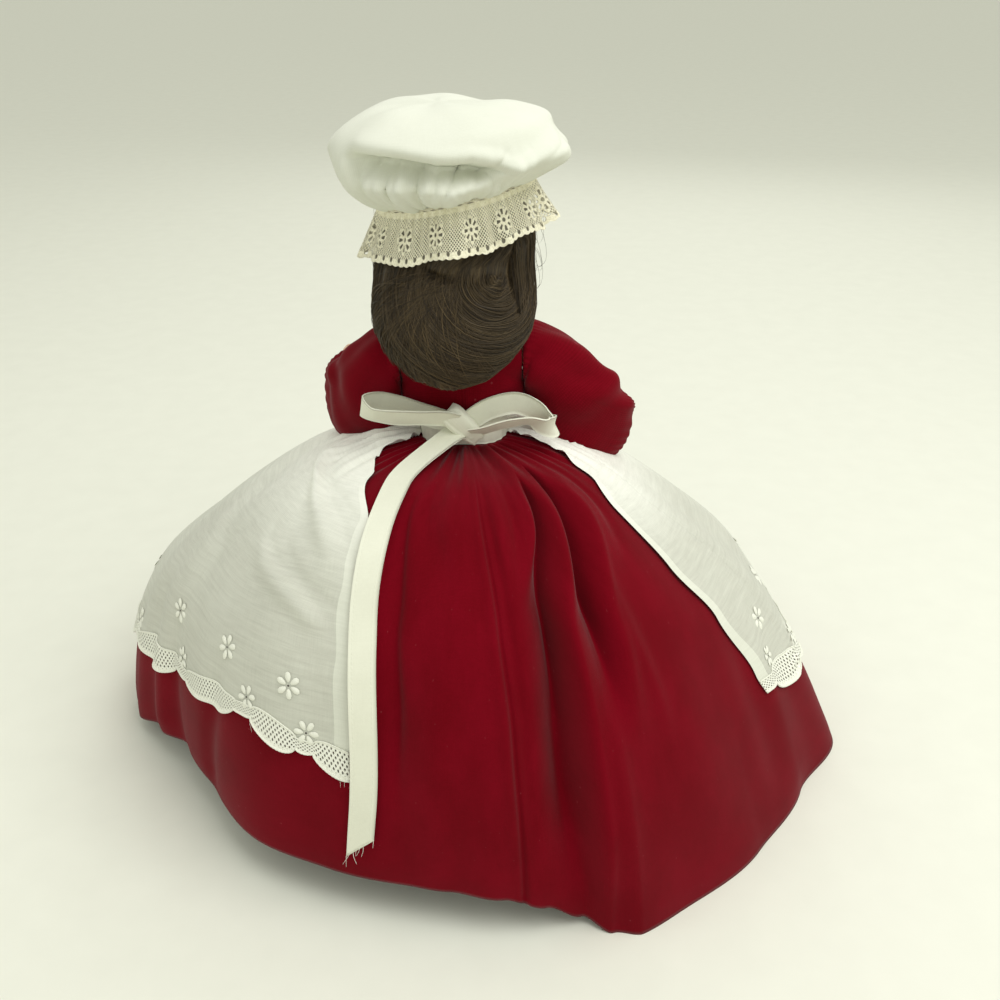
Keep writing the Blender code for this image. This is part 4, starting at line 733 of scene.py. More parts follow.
def skin_finish(name, face):
    """Painted doll's skin.  With face, U and V are the front view from between the eyes:
    lips, brows, lower lashes and a blush are ovals and arcs of paint."""
    finish = Finish(name)
    place = finish.place()
    u, v, _ = finish.split(place)
    tone = finish.noise(place, 180.0, 3.0)
    colour = finish.mix(tone, "E3B596", "EDC6AA")
    rough = tone * 0.08 + 0.42
    if face:
        wide = u.size()
        blush = oval(wide, v, (11.5 * MM, -9.0 * MM), (6.0 * MM, 5.0 * MM))
        blush = blush.step(0.0, 1.2, 0.55, 0.0)
        colour = finish.mix(blush, colour, "D98C78")
        upper = oval(wide, v, (1.35 * MM, -12.15 * MM), (1.9 * MM, 0.85 * MM))
        lower = oval(wide, v, (0.0, -13.55 * MM), (2.5 * MM, 1.05 * MM))
        lips = upper.at_most(lower).fall(0.80, 1.05)
        colour = finish.mix(lips, colour, "A63A3C")
        ring = (oval(wide, v, (9.6 * MM, 0.2 * MM), (6.6 * MM, 6.6 * MM)) - 1.0).size()
        brow = ring.fall(0.06, 0.16) * v.step(4.4 * MM, 5.0 * MM) \
            * (wide - 13.6 * MM).fall(-0.5 * MM, 0.3 * MM)
        colour = finish.mix(brow * 0.85, colour, "4A3425")
        around_eye = oval(wide, v, (8.8 * MM, 0.0), (4.7 * MM, 3.6 * MM))
        lash = (around_eye - 1.12).size().fall(0.04, 0.22)
        lash = lash * v.fall(-1.4 * MM, -1.0 * MM)
        ticks = (wide * (2.0 * math.pi / (1.0 * MM))).sine().step(0.1, 0.5)
        colour = finish.mix(lash * ticks * 0.6, colour, "5A4030")
        rough = rough - lips * 0.15
    normal = finish.bump(finish.noise(place, 500.0, 2.0), 0.05 * MM, 0.25)
    return finish.done(colour, rough, normal, Subsurface_Weight=0.0, Coat_Weight=0.12,
                       Specular_IOR_Level=0.4)


def eye_finish():
    """U is the roll about the gaze, V the angle from it: pupil, streaked iris, white, and a
    painted lid over the upper part with a lash line at its edge."""
    finish = Finish("sleep_eye")
    place = finish.place()
    u, v, _ = finish.split(place)
    streaks = finish.noise(finish.joined(u * 9.0, v * 1.5, 0.0), 1.0, 3.0)
    iris = finish.mix(streaks.step(0.3, 0.7), "3C2A1B", "8A6238")
    iris = finish.mix(v.step(0.44, 0.50), iris, "2A1C12")
    colour = finish.mix(v.step(0.50, 0.53), iris, "EDEAE2")
    colour = finish.mix(v.fall(0.19, 0.21), colour, "0B0908")
    high = u.sine() * v.sine()
    lid = high.step(0.55, 0.57)
    behind = v.step(1.8, 1.9)
    colour = finish.mix((lid + behind).at_most(1.0), colour, "DBA88A")
    edge = (high - 0.55).size().fall(0.015, 0.04) * v.step(0.3, 0.4)
    colour = finish.mix(edge, colour, "2B2018")
    return finish.done(colour, lid * 0.3 + 0.12, None, Coat_Weight=0.4)


def hair_finish():
    finish = Finish("brown_hair")
    place = finish.place()
    streaks = finish.noise(finish.stretched(place, (1.0, 0.03, 1.0)), 900.0, 3.0, 0.7)
    locks = finish.noise(finish.stretched(place, (1.0, 0.10, 1.0)), 160.0, 2.0)
    share = streaks.step(0.35, 0.75) * 0.6 + locks.step(0.4, 0.7) * 0.4
    colour = finish.mix(share, "20180E", "6E5C3E")
    normal = finish.bump(streaks + locks * 0.5, 0.15 * MM, 0.6)
    return finish.done(colour, streaks * 0.2 + 0.42, normal, Specular_IOR_Level=0.35)


def lace_finish():
    """Machine lace: a net of small holes, an eight-petalled medallion every 16 mm with its ring
    of eyelets, and a solid heading and edge.  V runs from the gathers down."""
    finish = Finish("cream_lace")
    place = finish.place()
    u, v, _ = finish.split(place)
    net = crossed(u + v, u - v, 1.15 * MM).step(0.34, 0.52)
    pitch = 16.0 * MM
    across = ((u / pitch).math("FRACT") - 0.5) * pitch
    over = v - 7.6 * MM
    far = (across ** 2.0 + over ** 2.0) ** 0.5
    turn = over.math("ARCTAN2", across)
    petals = (turn * 8.0).math("COSINE")
    medal = (far - petals * (0.7 * MM) - 3.9 * MM).fall(-0.1 * MM, 0.15 * MM)
    eyelet = petals.step(0.0, 0.3) * (far - 2.5 * MM).size().fall(0.7 * MM, 0.9 * MM)
    heart = far.fall(0.5 * MM, 0.8 * MM)
    inside = v.step(1.6 * MM, 2.0 * MM) * (v - 12.9 * MM).fall(0.0, 0.3 * MM)
    half = ((u / (pitch * 0.25)).math("FRACT") - 0.5) * (pitch * 0.25)
    edge_hole = (half ** 2.0 + (v - 13.4 * MM) ** 2.0) ** 0.5
    edge_hole = edge_hole.fall(0.55 * MM, 0.75 * MM)
    ground = net * inside * (1.0 - medal) * v.step(3.0 * MM, 9.0 * MM, 0.55, 1.0)
    hole = (ground + medal * (eyelet + heart) + edge_hole).at_most(1.0)
    fine = finish.noise(place, 1600.0, 3.0, 0.7)
    colour = finish.mix(fine.step(0.3, 0.7), "DAD5B8", "F7F3DC")
    height = (1.0 - hole) + medal * 1.2 + fine * 0.7
    return finish.done(colour, 0.85, finish.bump(height, 0.25 * MM, 0.9), Alpha=1.0 - hole * 0.9,
                       Specular_IOR_Level=0.2)


def simple_finish(name, dark, light, roughness, scale, stretch=(1.0, 1.0, 1.0), metallic=0.0):
    """A fine grain between two tones, for the pieces inside."""
    finish = Finish(name)
    place = finish.place(False)
    grain = finish.noise(finish.stretched(place, stretch), scale, 4.0, 0.6)
    colour = finish.mix(grain.step(0.3, 0.7), dark, light)
    normal = finish.bump(grain, 0.06 * MM, 0.4)
    return finish.done(colour, grain * 0.1 + (roughness - 0.05), normal, Metallic=metallic)


SKIN = skin_finish("face_skin", True)
LIMB = skin_finish("limb_skin", False)
SKIN_PLAIN = simple_finish("torso_skin", "E0B193", "EBC4A8", 0.5, 300.0)
LASH = simple_finish("eye_rim", "C98F76", "D9A58A", 0.5, 900.0)
EYE = eye_finish()
HAIR = hair_finish()
LACE = lace_finish()
STEEL = simple_finish("steel_wire", "8C8C8A", "B5B5B2", 0.35, 900.0, metallic=1.0)
CORD = simple_finish("elastic_cord", "CFC9B4", "EDE8D6", 0.8, 1500.0, (1.0, 1.0, 3.0))
# Dark brown for the discs at the daisies' middles: painted shade in place of the holes' shadow
EYELET_SHADE = simple_finish("painted_eyelet_shade", "2A2520", "453A33", 0.9, 1500.0)
WOOD = simple_finish("plug_wood", "A87A48", "CFA46C", 0.6, 300.0, (1.0, 1.0, 0.1))


# ---- Camera, light and floor ----

CAMERA_AT = STAND + np.array([-13.73, 390.709, 316.2]) * MM
CAMERA_PITCH = math.radians(62.0)
AIM = Vector((0.0, 0.0, 0.12))
# Name, energy, size and place of each lamp; all point at AIM
LAMPS = (
    ("top_lamp", 6.8, 0.8, (-0.40, 0.30, 1.00)),
    ("fill_lamp", 0.5, 0.8, (0.75, 0.55, 0.45)),
    ("front_lamp", 1.5, 0.9, (-0.2, -0.9, 0.7)),
)
FLOOR_HALF = 6.0
FLOOR_DROP = 0.02 * MM


def make_stage():
    """Camera at the photograph's angle, soft lamps, pale sky and floor."""
    camera_data = bpy.data.cameras.new("camera")
    camera_data.lens = 39.6
    camera_data.sensor_width = 36.0
    camera_data.clip_start = 0.01
    camera = add_object("camera", camera_data)
    camera.location = CAMERA_AT
    camera.rotation_euler = Euler((CAMERA_PITCH, 0.0, math.pi))
    bpy.context.scene.camera = camera
    for name, energy, size, spot in LAMPS:
        lamp = bpy.data.lights.new(name, "AREA")
        lamp.energy = energy
        lamp.size = size
        holder = add_object(name, lamp)
        holder.location = spot
        holder.rotation_euler = (AIM - Vector(spot)).to_track_quat("-Z", "Y").to_euler()
    world = bpy.data.worlds.new("room")
    bpy.context.scene.world = world
    world.use_nodes = True
    sky = world.node_tree.nodes["Background"]
    sky.inputs[0].default_value = (*srgb("F2F3EA"), 1.0)
    sky.inputs[1].default_value = 0.80
    bpy.context.scene.view_settings.view_transform = "Standard"
    floor = Finish("floor_paper")
    grain = floor.noise(floor.place(False), 60.0, 3.0)
    material = floor.done(floor.mix(grain, "E3E4D7", "E9EADD"), 0.8, None, Specular_IOR_Level=0.1)
    corners = np.array([(-1, -1, 0), (1, -1, 0), (1, 1, 0), (-1, 1, 0)]) * FLOOR_HALF
    ground = add_mesh("floor", corners - np.array([0.0, 0.0, FLOOR_DROP]),
                      np.array([[0, 1, 2, 3]]), material)


# ---- Skirts ----

def skirt_rows(count):
    """Shares of the slant, closer together towards the waist and the hem."""
    even = np.linspace(0.0, 1.0, count)[:, None]
    return even - 0.06 * np.sin(2.0 * np.pi * even)


def skirt_columns(count):
    """Angles round the skirt, about three times closer together among the back's folds."""
    even = np.linspace(-180.0, 180.0, 1441)
    spread = np.cumsum(1.0 + 2.2 * bell(even, 20.0, 34.0))
    spread = (spread - spread[0]) / (spread[-1] - spread[0])
    return np.interp(np.linspace(0.0, 1.0, count, endpoint=False), spread, even)[None, :]


def make_skirts():
    """Both skirts as shells off the skirt's face: the outer's inner side lies 1.0 mm below it,
    1.6 mm at the hem; the inner skirt lies 2.4 to 3.1 mm below it, with a fine ripple."""
    degrees = skirt_columns(560)
    shares = skirt_rows(113)
    outer = skirt_lifted(degrees, shares, np.zeros((1, 1)), True)
    inner_shares = np.minimum(shares[::2], 0.995)
    depth = 1.0 * MM + 0.6 * MM * ramp(inner_shares, 0.9, 0.97) + 0.0 * degrees
    inner = skirt_lifted(degrees, inner_shares, -depth, True)
    inner[..., 2] = np.maximum(inner[..., 2], 0.0003)
    outer[..., 2] = np.maximum(outer[..., 2], 0.0)
    grid = np.concatenate([outer, inner[::-1]]) + STAND
    skirt = loop_piece("outer_skirt_cloth", grid, BURGUNDY, (0.92, 0.36))
    dress_piece(skirt, "torsos", "dress", "outer_skirt")
    shares = shares[(shares[:, 0] > 0.05) & (shares[:, 0] < 0.905)][::2]
    ripple = 0.35 * MM * np.sin(np.radians(degrees) * 41.0) * ramp_down(shares, 0.1, 0.5)
    face = skirt_lifted(degrees, shares, -2.4 * MM + ripple, True)
    back = skirt_lifted(degrees, shares[::2], -3.1 * MM + ripple[::2], True)
    grid = np.concatenate([face, back[::-1]]) + STAND
    lining = loop_piece("inner_skirt_cloth", grid, BLUE, (0.86, 0.30))
    dress_piece(lining, "torsos", "second_dress", "inner_skirt")


# ---- Apron ----

APRON_EDGES = (
    (0.00, 84.0, -78.0), (0.10, 71.0, -60.0), (0.20, 60.0, -41.0), (0.32, 53.6, -28.8),
    (0.46, 56.0, -24.6), (0.62, 60.8, -21.6), (0.78, 65.3, -20.0), (0.88, 68.0, -19.4),
)
# Places of the small bumps between the big scallops, from the left edge round to the right
BUMPS = np.array([-15.5, -28.5, -42.3, -66.0, -88.6] + list(np.linspace(-104.0, -292.0, 13)))
EDGE_SHARES = (
    (-300.0, 0.800), (-294.0, 0.815), (-279.0, 0.845), (-260.0, 0.850), (-200.0, 0.850),
    (-110.0, 0.850), (-90.0, 0.858), (-75.0, 0.850), (-66.0, 0.830), (-50.0, 0.800),
    (-42.0, 0.785), (-28.0, 0.812), (-19.0, 0.828),
)
FOLD_ONE = ((0.20, -112.0), (0.297, -101.8), (0.367, -91.0), (0.417, -85.6), (0.497, -74.2),
            (0.583, -69.7), (0.70, -67.0), (0.84, -66.0))
FOLD_TWO = ((0.10, -100.0), (0.223, -78.0), (0.263, -60.6), (0.328, -44.5), (0.40, -33.5),
            (0.50, -28.0))


def scallop(degrees):
    """How far the border's edge hangs at an angle, as shares of a big scallop and of a small
    bump: both are half ovals, the bumps at BUMPS and the scallops between them."""
    order = np.sort(BUMPS)
    place = np.clip(np.searchsorted(order, degrees) - 1, 0, len(order) - 2)
    low, high = order[place], order[place + 1]
    share = np.clip((degrees - low) / (high - low), 0.0, 1.0)
    off = np.abs(share - 0.5) * 2.0
    big = np.sqrt(np.clip(1.0 - (off / 0.74) ** 2, 0.0, 1.0))
    small = np.sqrt(np.clip(1.0 - ((1.0 - off) / 0.26) ** 2, 0.0, 1.0))
    return big, small


def edge_share(degrees):
    big, small = scallop(degrees)
    return read_table(EDGE_SHARES, degrees) + 0.022 * big + 0.006 * small


def net_top_share(degrees):
    big, _ = scallop(degrees)
    return read_table(EDGE_SHARES, degrees) - 0.018 - 0.014 * big


def apron_degrees(fraction, share):
    """Angle by fraction of the apron's width from its left edge (0) round to the right (1)."""
    left = read_table(APRON_EDGES, share, 2)
    right = read_table(APRON_EDGES, share) - 360.0
    return left + (right - left) * fraction


def apron_lift(degrees, share):
    """The lawn's own drape over the skirt: a step along one fold, a ridge, a slanted crease,
    puckers beside the right hem and slow waves."""
    lift = 1.0 * MM + 0.0 * share
    one = np.interp(share, *np.array(FOLD_ONE).T)
    fold = plateau(one - degrees, -3.0, 5.0, 14.0, 40.0)
    lift = lift + 2.6 * MM * fold * plateau(share, 0.16, 0.3, 0.62, 0.82)
    two = np.interp(share, *np.array(FOLD_TWO).T)
    lift = lift + 2.8 * MM * bell(degrees, two, 5.0) * plateau(share, 0.12, 0.22, 0.34, 0.50)
    lift = lift - 1.2 * MM * bell(degrees, two + 11.0, 5.0) * plateau(share, 0.14, 0.24, 0.38, 0.46)
    crease = 0.36 + 0.14 * (degrees + 66.0) / 36.0
    inside = plateau(degrees, -66.0, -52.0, -34.0, -27.0)
    lift = lift + 2.0 * MM * inside * (bell(share, crease + 0.035, 0.028)
                                       - 0.8 * bell(share, crease, 0.022))
    slow = waves((np.radians(degrees) * 2.0, share * 6.0), (4.0, 6.0, 9.0), 11)
    lift = lift + 1.0 * MM * slow * ramp(share, 0.2, 0.6)
    seam = np.interp(share, (0.10, 0.16, 0.23, 0.34, 0.50, 0.85),
                     (-272.0, -278.0, -282.4, -286.2, -281.4, -280.0))
    beside = np.abs(degrees - seam)
    lift = lift + 0.35 * MM * bell(beside, 0.0, 2.5) * np.sin(share * 330.0)
    lift = lift - 0.5 * MM * bell(beside, 0.0, 0.7)
    gathers = np.sin(np.radians(degrees) * 52.0 + 2.0 * np.sin(np.radians(degrees) * 9.0))
    lift = lift + 0.9 * MM * (1.0 + gathers) * plateau(share, 0.0, 0.03, 0.06, 0.26)
    edge = np.minimum(1.0, share / 0.05)
    return np.maximum(lift, 0.5 * MM) * (0.4 + 0.6 * edge)


def apron_grid(fractions, top, bottom, rows, extra=0.0):
    """Apron points between two lines of shares, which depend on the angle."""
    down = np.linspace(0.0, 1.0, rows)[:, None]
    guess = apron_degrees(fractions, 0.80)[None, :]
    for _ in range(3):
        share = top(guess) + (bottom(guess) - top(guess)) * down
        guess = apron_degrees(fractions[None, :], share)
    lift = apron_lift(guess, share) + extra
    return skirt_lifted(guess, share, lift, True) + STAND, share


def make_apron():
    """The lawn as one layer, its net border as a shell, two lines of satin stitching, daisies."""
    fractions = np.linspace(0.0, 1.0, 620)
    grid, share = apron_grid(fractions, np.zeros_like, lambda at: net_top_share(at) + 0.006, 96)
    faces, places = quads(*grid.shape[:2])
    wide = fractions[None, :] * APRON_FLAT[0] + 0.0 * share
    uv = np.stack([wide, share / 0.85 * APRON_FLAT[1]], -1).reshape(-1, 2)[places].reshape(-1, 2)
    panel = add_mesh("apron_panel_lawn", grid.reshape(-1, 3), faces, LAWN, uv)
    dress_piece(panel, "torsos", "apron", "apron_panel")
    fractions = np.linspace(0.0, 1.0, 1100)
    net_wide = 9.0 * MM
    net = net_finish("apron_net", "E2E3D3", "FAFBF0", 2.3 * MM, net_wide)
    grid, _ = apron_grid(fractions, net_top_share, edge_share, 14, 0.25 * MM)
    border = cloth_shell("apron_border_net", grid, 0.25 * MM, net, (0.74, net_wide))
    dress_piece(border, "torsos", "lace", "apron_border")
    make_cord_line("apron_edge_cord", edge_share, 0.40 * MM)
    make_cord_line("apron_net_cord", net_top_share, 0.26 * MM)
    make_daisies()


def make_cord_line(name, line, radius):
    """Satin stitching along a line of the border: a flattened tube with a fine twist."""
    fractions = np.linspace(0.0, 1.0, 1500)
    degrees = apron_degrees(fractions, 0.82)
    for _ in range(3):
        degrees = apron_degrees(fractions, line(degrees))
    share = line(degrees)
    centre = apron_place(degrees, share, 0.35 * MM)
    tube = tube_grid(centre, radius * (1.0 + 0.12 * np.sin(np.arange(1500) * 1.9)), 7)
    cord = loop_piece(name, tube, STITCHES, (0.003, 0.8), True)
    dress_piece(cord, "torsos", "lace")


# Directions that the rings of cords and of thin threads start from
TUBE_START = np.array([0.3, 0.2, 0.93])
STRAND_START = np.array([0.31, 0.52, 0.79])


def tube_grid(centre, radius, sides):
    """Rings round a path, each square to it and started from the same fixed direction."""
    along = headings(centre)
    across = unit(np.cross(along, TUBE_START), 1e-9)
    over = np.cross(along, across)
    turn = turns(sides)[0, :, None]
    radius = np.broadcast_to(np.asarray(radius, float), len(centre))[:, None, None]
    ring = across[:, None] * np.cos(turn) + over[:, None] * np.sin(turn)
    return centre[:, None] + ring * radius


def apron_place(degrees, share, extra):
    """Points off the lawn's face."""
    return skirt_lifted(degrees, share, apron_lift(degrees, share) + extra, True) + STAND


def make_daisies():
    """Six-petalled eyelets: one at each small bump and one above each big scallop, each with a flat
    dark disc of painted shade in its middle where the hole is.

    A petal is a domed oval: height = sqrt(1 - r squared) over an oval outline."""
    spots = [(BUMPS[place], read_table(EDGE_SHARES, BUMPS[place]) - 0.034, 4.6)
             for place in range(1, len(BUMPS) - 1)]
    middles = [(-33.1, 0.688), (-50.8, 0.672), (-71.0, 0.700)]
    middles += [((low + high) / 2.0, 0.715) for low, high in zip(BUMPS[4:-1], BUMPS[5:])]
    spots += [(degrees, share, 4.8) for degrees, share in middles]
    spots.append((-288.4, 0.778, 4.2))
    rings, sides = 4, 9
    points, faces, hearts = [], [], []
    ring = np.linspace(0.02, 1.0, rings)[:, None]
    turn = turns(sides)
    base, _ = quads(rings, sides, False, True)
    for number, (degrees, share, size) in enumerate(spots):
        here = apron_place(degrees, share, 0.1 * MM)
        side = unit(apron_place(degrees + 0.5, share, 0.1 * MM) - here)
        below = apron_place(degrees, share + 0.004, 0.1 * MM) - here
        normal = unit(np.cross(side, below))
        normal = normal * np.sign(normal @ (here - STAND - np.array([0.0, 0.0, 0.03])))
        down = np.cross(normal, side)
        start = 0.4 * np.sin(number * 2.3)
        disc = np.cos(turn.T) * side + np.sin(turn.T) * down
        hearts.append(here + 0.22 * MM * normal + 0.38 * MM * disc)
        for petal in range(6):
            way = start + petal * np.pi / 3.0
            out = np.cos(way) * side + np.sin(way) * down
            over = np.cross(normal, out)
            reach = size * 0.62 * MM
            long, wide = size * 0.40 * MM, size * 0.235 * MM
            oval = (ring * np.cos(turn) * long)[..., None] * out
            pinch = 1.0 + 0.25 * np.cos(turn)
            oval = oval + (ring * np.sin(turn) * pinch * wide)[..., None] * over
            tall = 0.55 * MM * np.sqrt(np.clip(1.0 - ring ** 2 * 0.97, 0.0, 1.0)) + 0.0 * turn
            dome = here + out * reach + oval + normal * tall[..., None]
            points.append(dome.reshape(-1, 3))
            faces.append(base + len(faces) * rings * sides)
    points, faces = np.concatenate(points), np.concatenate(faces)
    uv = (points[faces] @ np.array([[1.0, 0.0], [0.0, 1.0], [0.3, 0.6]])).reshape(-1, 2)
    daisies = add_mesh("apron_daisies", points, faces[:, ::-1], STITCHES, uv)
    dress_piece(daisies, "torsos", "lace")
    # Flat dark discs at the daisies' middles: painted shade standing in for the shadowed holes
    fans = np.arange(sides)[::-1][None, :] + np.arange(len(hearts))[:, None] * sides
    eyelets = add_mesh("apron_eyelet_shade", np.concatenate(hearts), fans, EYELET_SHADE, smooth=False)
    dress_piece(eyelets, "torsos", "lace")


# ---- Tie, bow and waistband ----

TIE_WIDTH = 9.4 * MM
TAPE_WALL = 0.55 * MM
# How much further one edge of the tail reaches than the other
TAIL_CUT = 9.0 * MM
TAIL_LINE = (
    (0.10, -31.0), (0.14, -29.0), (0.24, -25.8), (0.343, -23.8), (0.44, -21.9), (0.55, -19.9),
    (0.682, -18.0), (0.797, -17.1), (0.873, -16.7), (0.945, -17.4),
)


def ribbon(name, centre, across, width, flat_length, wave, cut=0.0):
    """Tape along a path: a grid from edge to edge, whose edges wave up and down.

    across are the unit directions from edge to edge; cut slants the far end."""
    edge = np.linspace(-0.5, 0.5, 9)[:, None, None]
    share = np.linspace(0.0, 1.0, len(centre))[:, None]
    along = headings(centre)
    hump = wave * np.sin(share * 37.0) * 2.0 * edge
    grid = centre + edge * width * across + hump * np.cross(across, along)
    grid = grid + edge * cut * ramp(share, 0.90, 1.0) * along
    return cloth_shell(name, grid, TAPE_WALL, TIE_COTTON, (flat_length, width))


def make_tail():
    """The long end: a free curve from the knot, then laid on the skirt down to the cut end."""
    line = np.array(TAIL_LINE)
    shares = np.linspace(line[0, 0], line[-1, 0], 150)
    degrees = np.interp(shares, line[:, 0], line[:, 1])
    degrees = smoothed(degrees, 15)
    lift = 2.6 * MM + 0.5 * MM * np.sin(shares * 21.0)
    lift = lift * (1.0 - 0.45 * ramp(shares, 0.80, 0.90))
    centre = skirt_lifted(degrees, shares, lift) + STAND
    sideways = unit(skirt_lifted(degrees + 1.0, shares, lift) + STAND - centre)
    sideways = square_to(sideways, headings(centre))
    knot = moved(np.array([[0.5, 17.4, 8.2], [5.6, 20.6, 6.0]]) * MM, FRAMES[UPPER])
    start = curve_through(np.concatenate([knot, centre[[12, 24]]]), 40)[:27]
    tape_side = np.concatenate([np.repeat(sideways[12][None], 27, 0), sideways[13:]])
    centre = np.concatenate([start, centre[13:]])
    kernel = np.ones(11) / 11.0
    beyond = 2.0 * centre[-1] - centre[-6:-1][::-1]
    padded = np.concatenate([centre[:1].repeat(5, 0), centre, beyond])
    centre = np.stack([np.convolve(padded[:, axis], kernel, "valid") for axis in range(3)], -1)
    along = headings(centre)
    tape_side = square_to(tape_side, along)
    tail = ribbon("tie_tail_tape", centre, tape_side, TIE_WIDTH, 0.17, 0.12 * MM, -TAIL_CUT)
    dress_piece(tail, "torsos", "tie", "tie_tail")
    threads = []
    for number in range(9):
        place = number / 8.0 - 0.5
        base = centre[-1] + tape_side[-1] * TIE_WIDTH * place \
            - along[-1] * (TAIL_CUT * place + 0.4 * MM)
        way = along[-1] + tape_side[-1] * RNG.normal(0.0, 0.45) + np.array([0.0, 0.25, 0.0])
        bend = tape_side[-1] * RNG.normal(0.0, 1.2) * MM
        length = RNG.uniform(1.2, 4.5) * MM
        threads.append(np.array([base, base + way * length * 0.5 + bend * 0.3,
                                 base + way * length + bend]))
    make_threads("tie_tail_fray", threads, 0.11 * MM, STITCHES, "torsos", "tie")
    ends = []
    for degrees, share in ((-40.5, 0.800), (-21.4, 0.846), (-20.6, 0.844)):
        base = apron_place(degrees, share, 0.2 * MM)
        drop = np.array([RNG.normal(0.0, 1.0), 0.6, -3.4]) * MM
        ends.append(np.array([base, base + drop * 0.5, base + drop]))
    make_threads("apron_loose_threads", ends, 0.10 * MM, STITCHES, "torsos", "lace")


THREAD_SIDES = 4


def thread_faces(count, steps):
    """Faces of many tubes with closed ends, whose rings follow one another in the points."""
    base, _ = quads(steps, THREAD_SIDES, False, True)
    last = (steps - 1) * THREAD_SIDES
    base = np.concatenate([base, [[3, 2, 1, 0], [last, last + 1, last + 2, last + 3]]])
    shifts = np.arange(count)[:, None, None] * steps * THREAD_SIDES
    return (base[None] + shifts).reshape(-1, 4)


def make_threads(name, paths, radius, material, body, slot, steps=8):
    """Many thin round threads as one mesh: a short tube along each path, tapered at its end."""
    taper = radius * np.linspace(1.0, 0.45, steps)
    grids = [tube_grid(curve_through(path, steps), taper, THREAD_SIDES) for path in paths]
    points = np.concatenate(grids).reshape(-1, 3)
    faces = thread_faces(len(paths), steps)
    if inside_out(points, faces):
        faces = faces[:, ::-1]
    uv = points[faces].reshape(-1, 3)[:, [0, 2]]
    dress_piece(add_mesh(name, points, faces, material, uv), body, slot)


def make_loop(name, node, path, tilt, length):
    """A bow loop: tape on edge along a closed curve, its edges leaning as the path goes."""
    centre = curve_through(np.array(path) * MM, 150)
    lean = curve_through(tilt, 150)
    across = square_to(unit(lean), headings(centre))
    matrix = FRAMES[UPPER]
    loop = ribbon(name, moved(centre, matrix), across @ matrix[:3, :3].T, TIE_WIDTH * 0.92,
                  length, 0.10 * MM)
    dress_piece(loop, "torsos", "tie", node)


KNOT_AT = np.array([-0.2, 17.8, 9.2]) * MM


def make_bow():
    """Both loops, the slanted knot, and the band round the waist."""
    far, near, flat = (0.0, 0.0, 1.0), (0.0, 0.55, 0.88), (0.0, 0.80, 0.70)
    make_loop("bow_loop_left_tape", "bow_loop_left",
              [(2.5, 16.4, 9.4), (7.7, 14.8, 10.4), (16.2, 13.4, 12.9), (23.9, 12.8, 15.4),
               (31.0, 13.4, 17.2), (37.0, 17.4, 17.8), (33.0, 21.0, 15.6), (25.0, 22.2, 14.5),
               (15.0, 22.0, 14.0), (7.0, 21.0, 13.2), (2.0, 19.6, 11.6)],
              [far] * 5 + [(-0.2, 0.2, 1.0)] + [near] * 5, 0.080)
    make_loop("bow_loop_right_tape", "bow_loop_right",
              [(-2.6, 15.6, 9.8), (-7.5, 14.0, 12.6), (-12.8, 13.2, 14.6), (-19.6, 12.9, 15.6),
               (-25.0, 13.4, 14.0), (-30.6, 15.2, 10.8), (-34.0, 17.8, 8.4), (-30.0, 20.4, 10.0),
               (-24.8, 21.4, 12.4), (-16.2, 21.6, 11.3), (-7.7, 20.8, 8.6), (-3.5, 19.8, 7.2)],
              [far] * 4 + [(0.3, 0.0, 1.0), (0.5, 0.0, 0.9), (0.4, 0.2, 0.95), (0.1, 0.5, 0.9)]
              + [flat] * 4, 0.078)
    turn = turns(64)
    place = np.linspace(-1.0, 1.0, 22)[:, None]
    slant = math.radians(43.0)
    swell = np.sqrt(np.clip(1.0 - (np.abs(place) ** 3.6) * 0.5, 0.0, 1.0))
    swell = swell * (1.0 - 0.16 * (place + 1.0))
    crease = 1.0 - 0.10 * bell(np.cos(turn), 0.25, 0.10) * (1.0 - 0.5 * place)
    wide = 5.0 * MM * signed_power(np.cos(turn), 0.55) * swell
    deep = 3.5 * MM * signed_power(np.sin(turn), 0.55) * swell * crease
    long = 8.2 * MM * place + 0.3 * MM * np.sin(turn * 3.0) * np.abs(place)
    x = wide * math.cos(slant) - long * math.sin(slant)
    z = -long * math.cos(slant) - wide * math.sin(slant)
    local = np.stack([x, deep, z], -1) + KNOT_AT
    knot = loop_piece("bow_knot_wrap", moved(local, FRAMES[UPPER]), TIE_COTTON, (0.026, TIE_WIDTH),
                      True)
    dress_piece(knot, "torsos", "tie", "bow_knot")
    turn = turns(240)
    rows = np.linspace(0.0, 1.0, 14)[:, None]
    ring = 1.0 + 0.012 * np.sin(turn * 23.0) * (1.0 - rows) + 0.02 * np.sin(rows * np.pi)
    height = -0.8 * MM + 10.4 * MM * rows + 0.2 * MM * np.sin(turn * 5.0)
    band = super_ring(16.5 * MM * ring, 13.4 * MM * ring, height, turn, 2.0 / WAIST_SQUARENESS)
    band = cloth_shell("apron_waistband_tape", moved(band, FRAMES[UPPER]), 0.8 * MM, TIE_COTTON,
                       (0.104, TIE_WIDTH), True)
    dress_piece(band, "torsos", "tie", "apron_waistband")


# ---- One doll: built in its own frame, then set upright or upside down ----

SIDES = ((1.0, "left"), (-1.0, "right"))
HEAD_MIDDLE = 76.0 * MM
NECK_RADIUS = 6.4 * MM
HEAD_WIDE, HEAD_DEEP, HEAD_TALL = 22.0 * MM, 24.0 * MM, 27.0 * MM
EYE_AT = np.array((8.8, -16.896, 74.0)) * MM
EYE_OPEN = (4.1 * MM, 3.0 * MM)
EYE_SIZE = 4.6 * MM
EYES_SHUT = math.radians(70.0)
CAP_AT = 92.0 * MM
CAP_REACH, CAP_HEIGHT = 40.5 * MM, 31.0 * MM
CAP_TILT = math.radians(10.0)
BAND_RADIUS = 27.0 * MM


def steps_for(which, count):
    """Steps of a grid: fewer on the doll that the skirt hides."""
    return count if which == UPPER else int(count * 0.62)


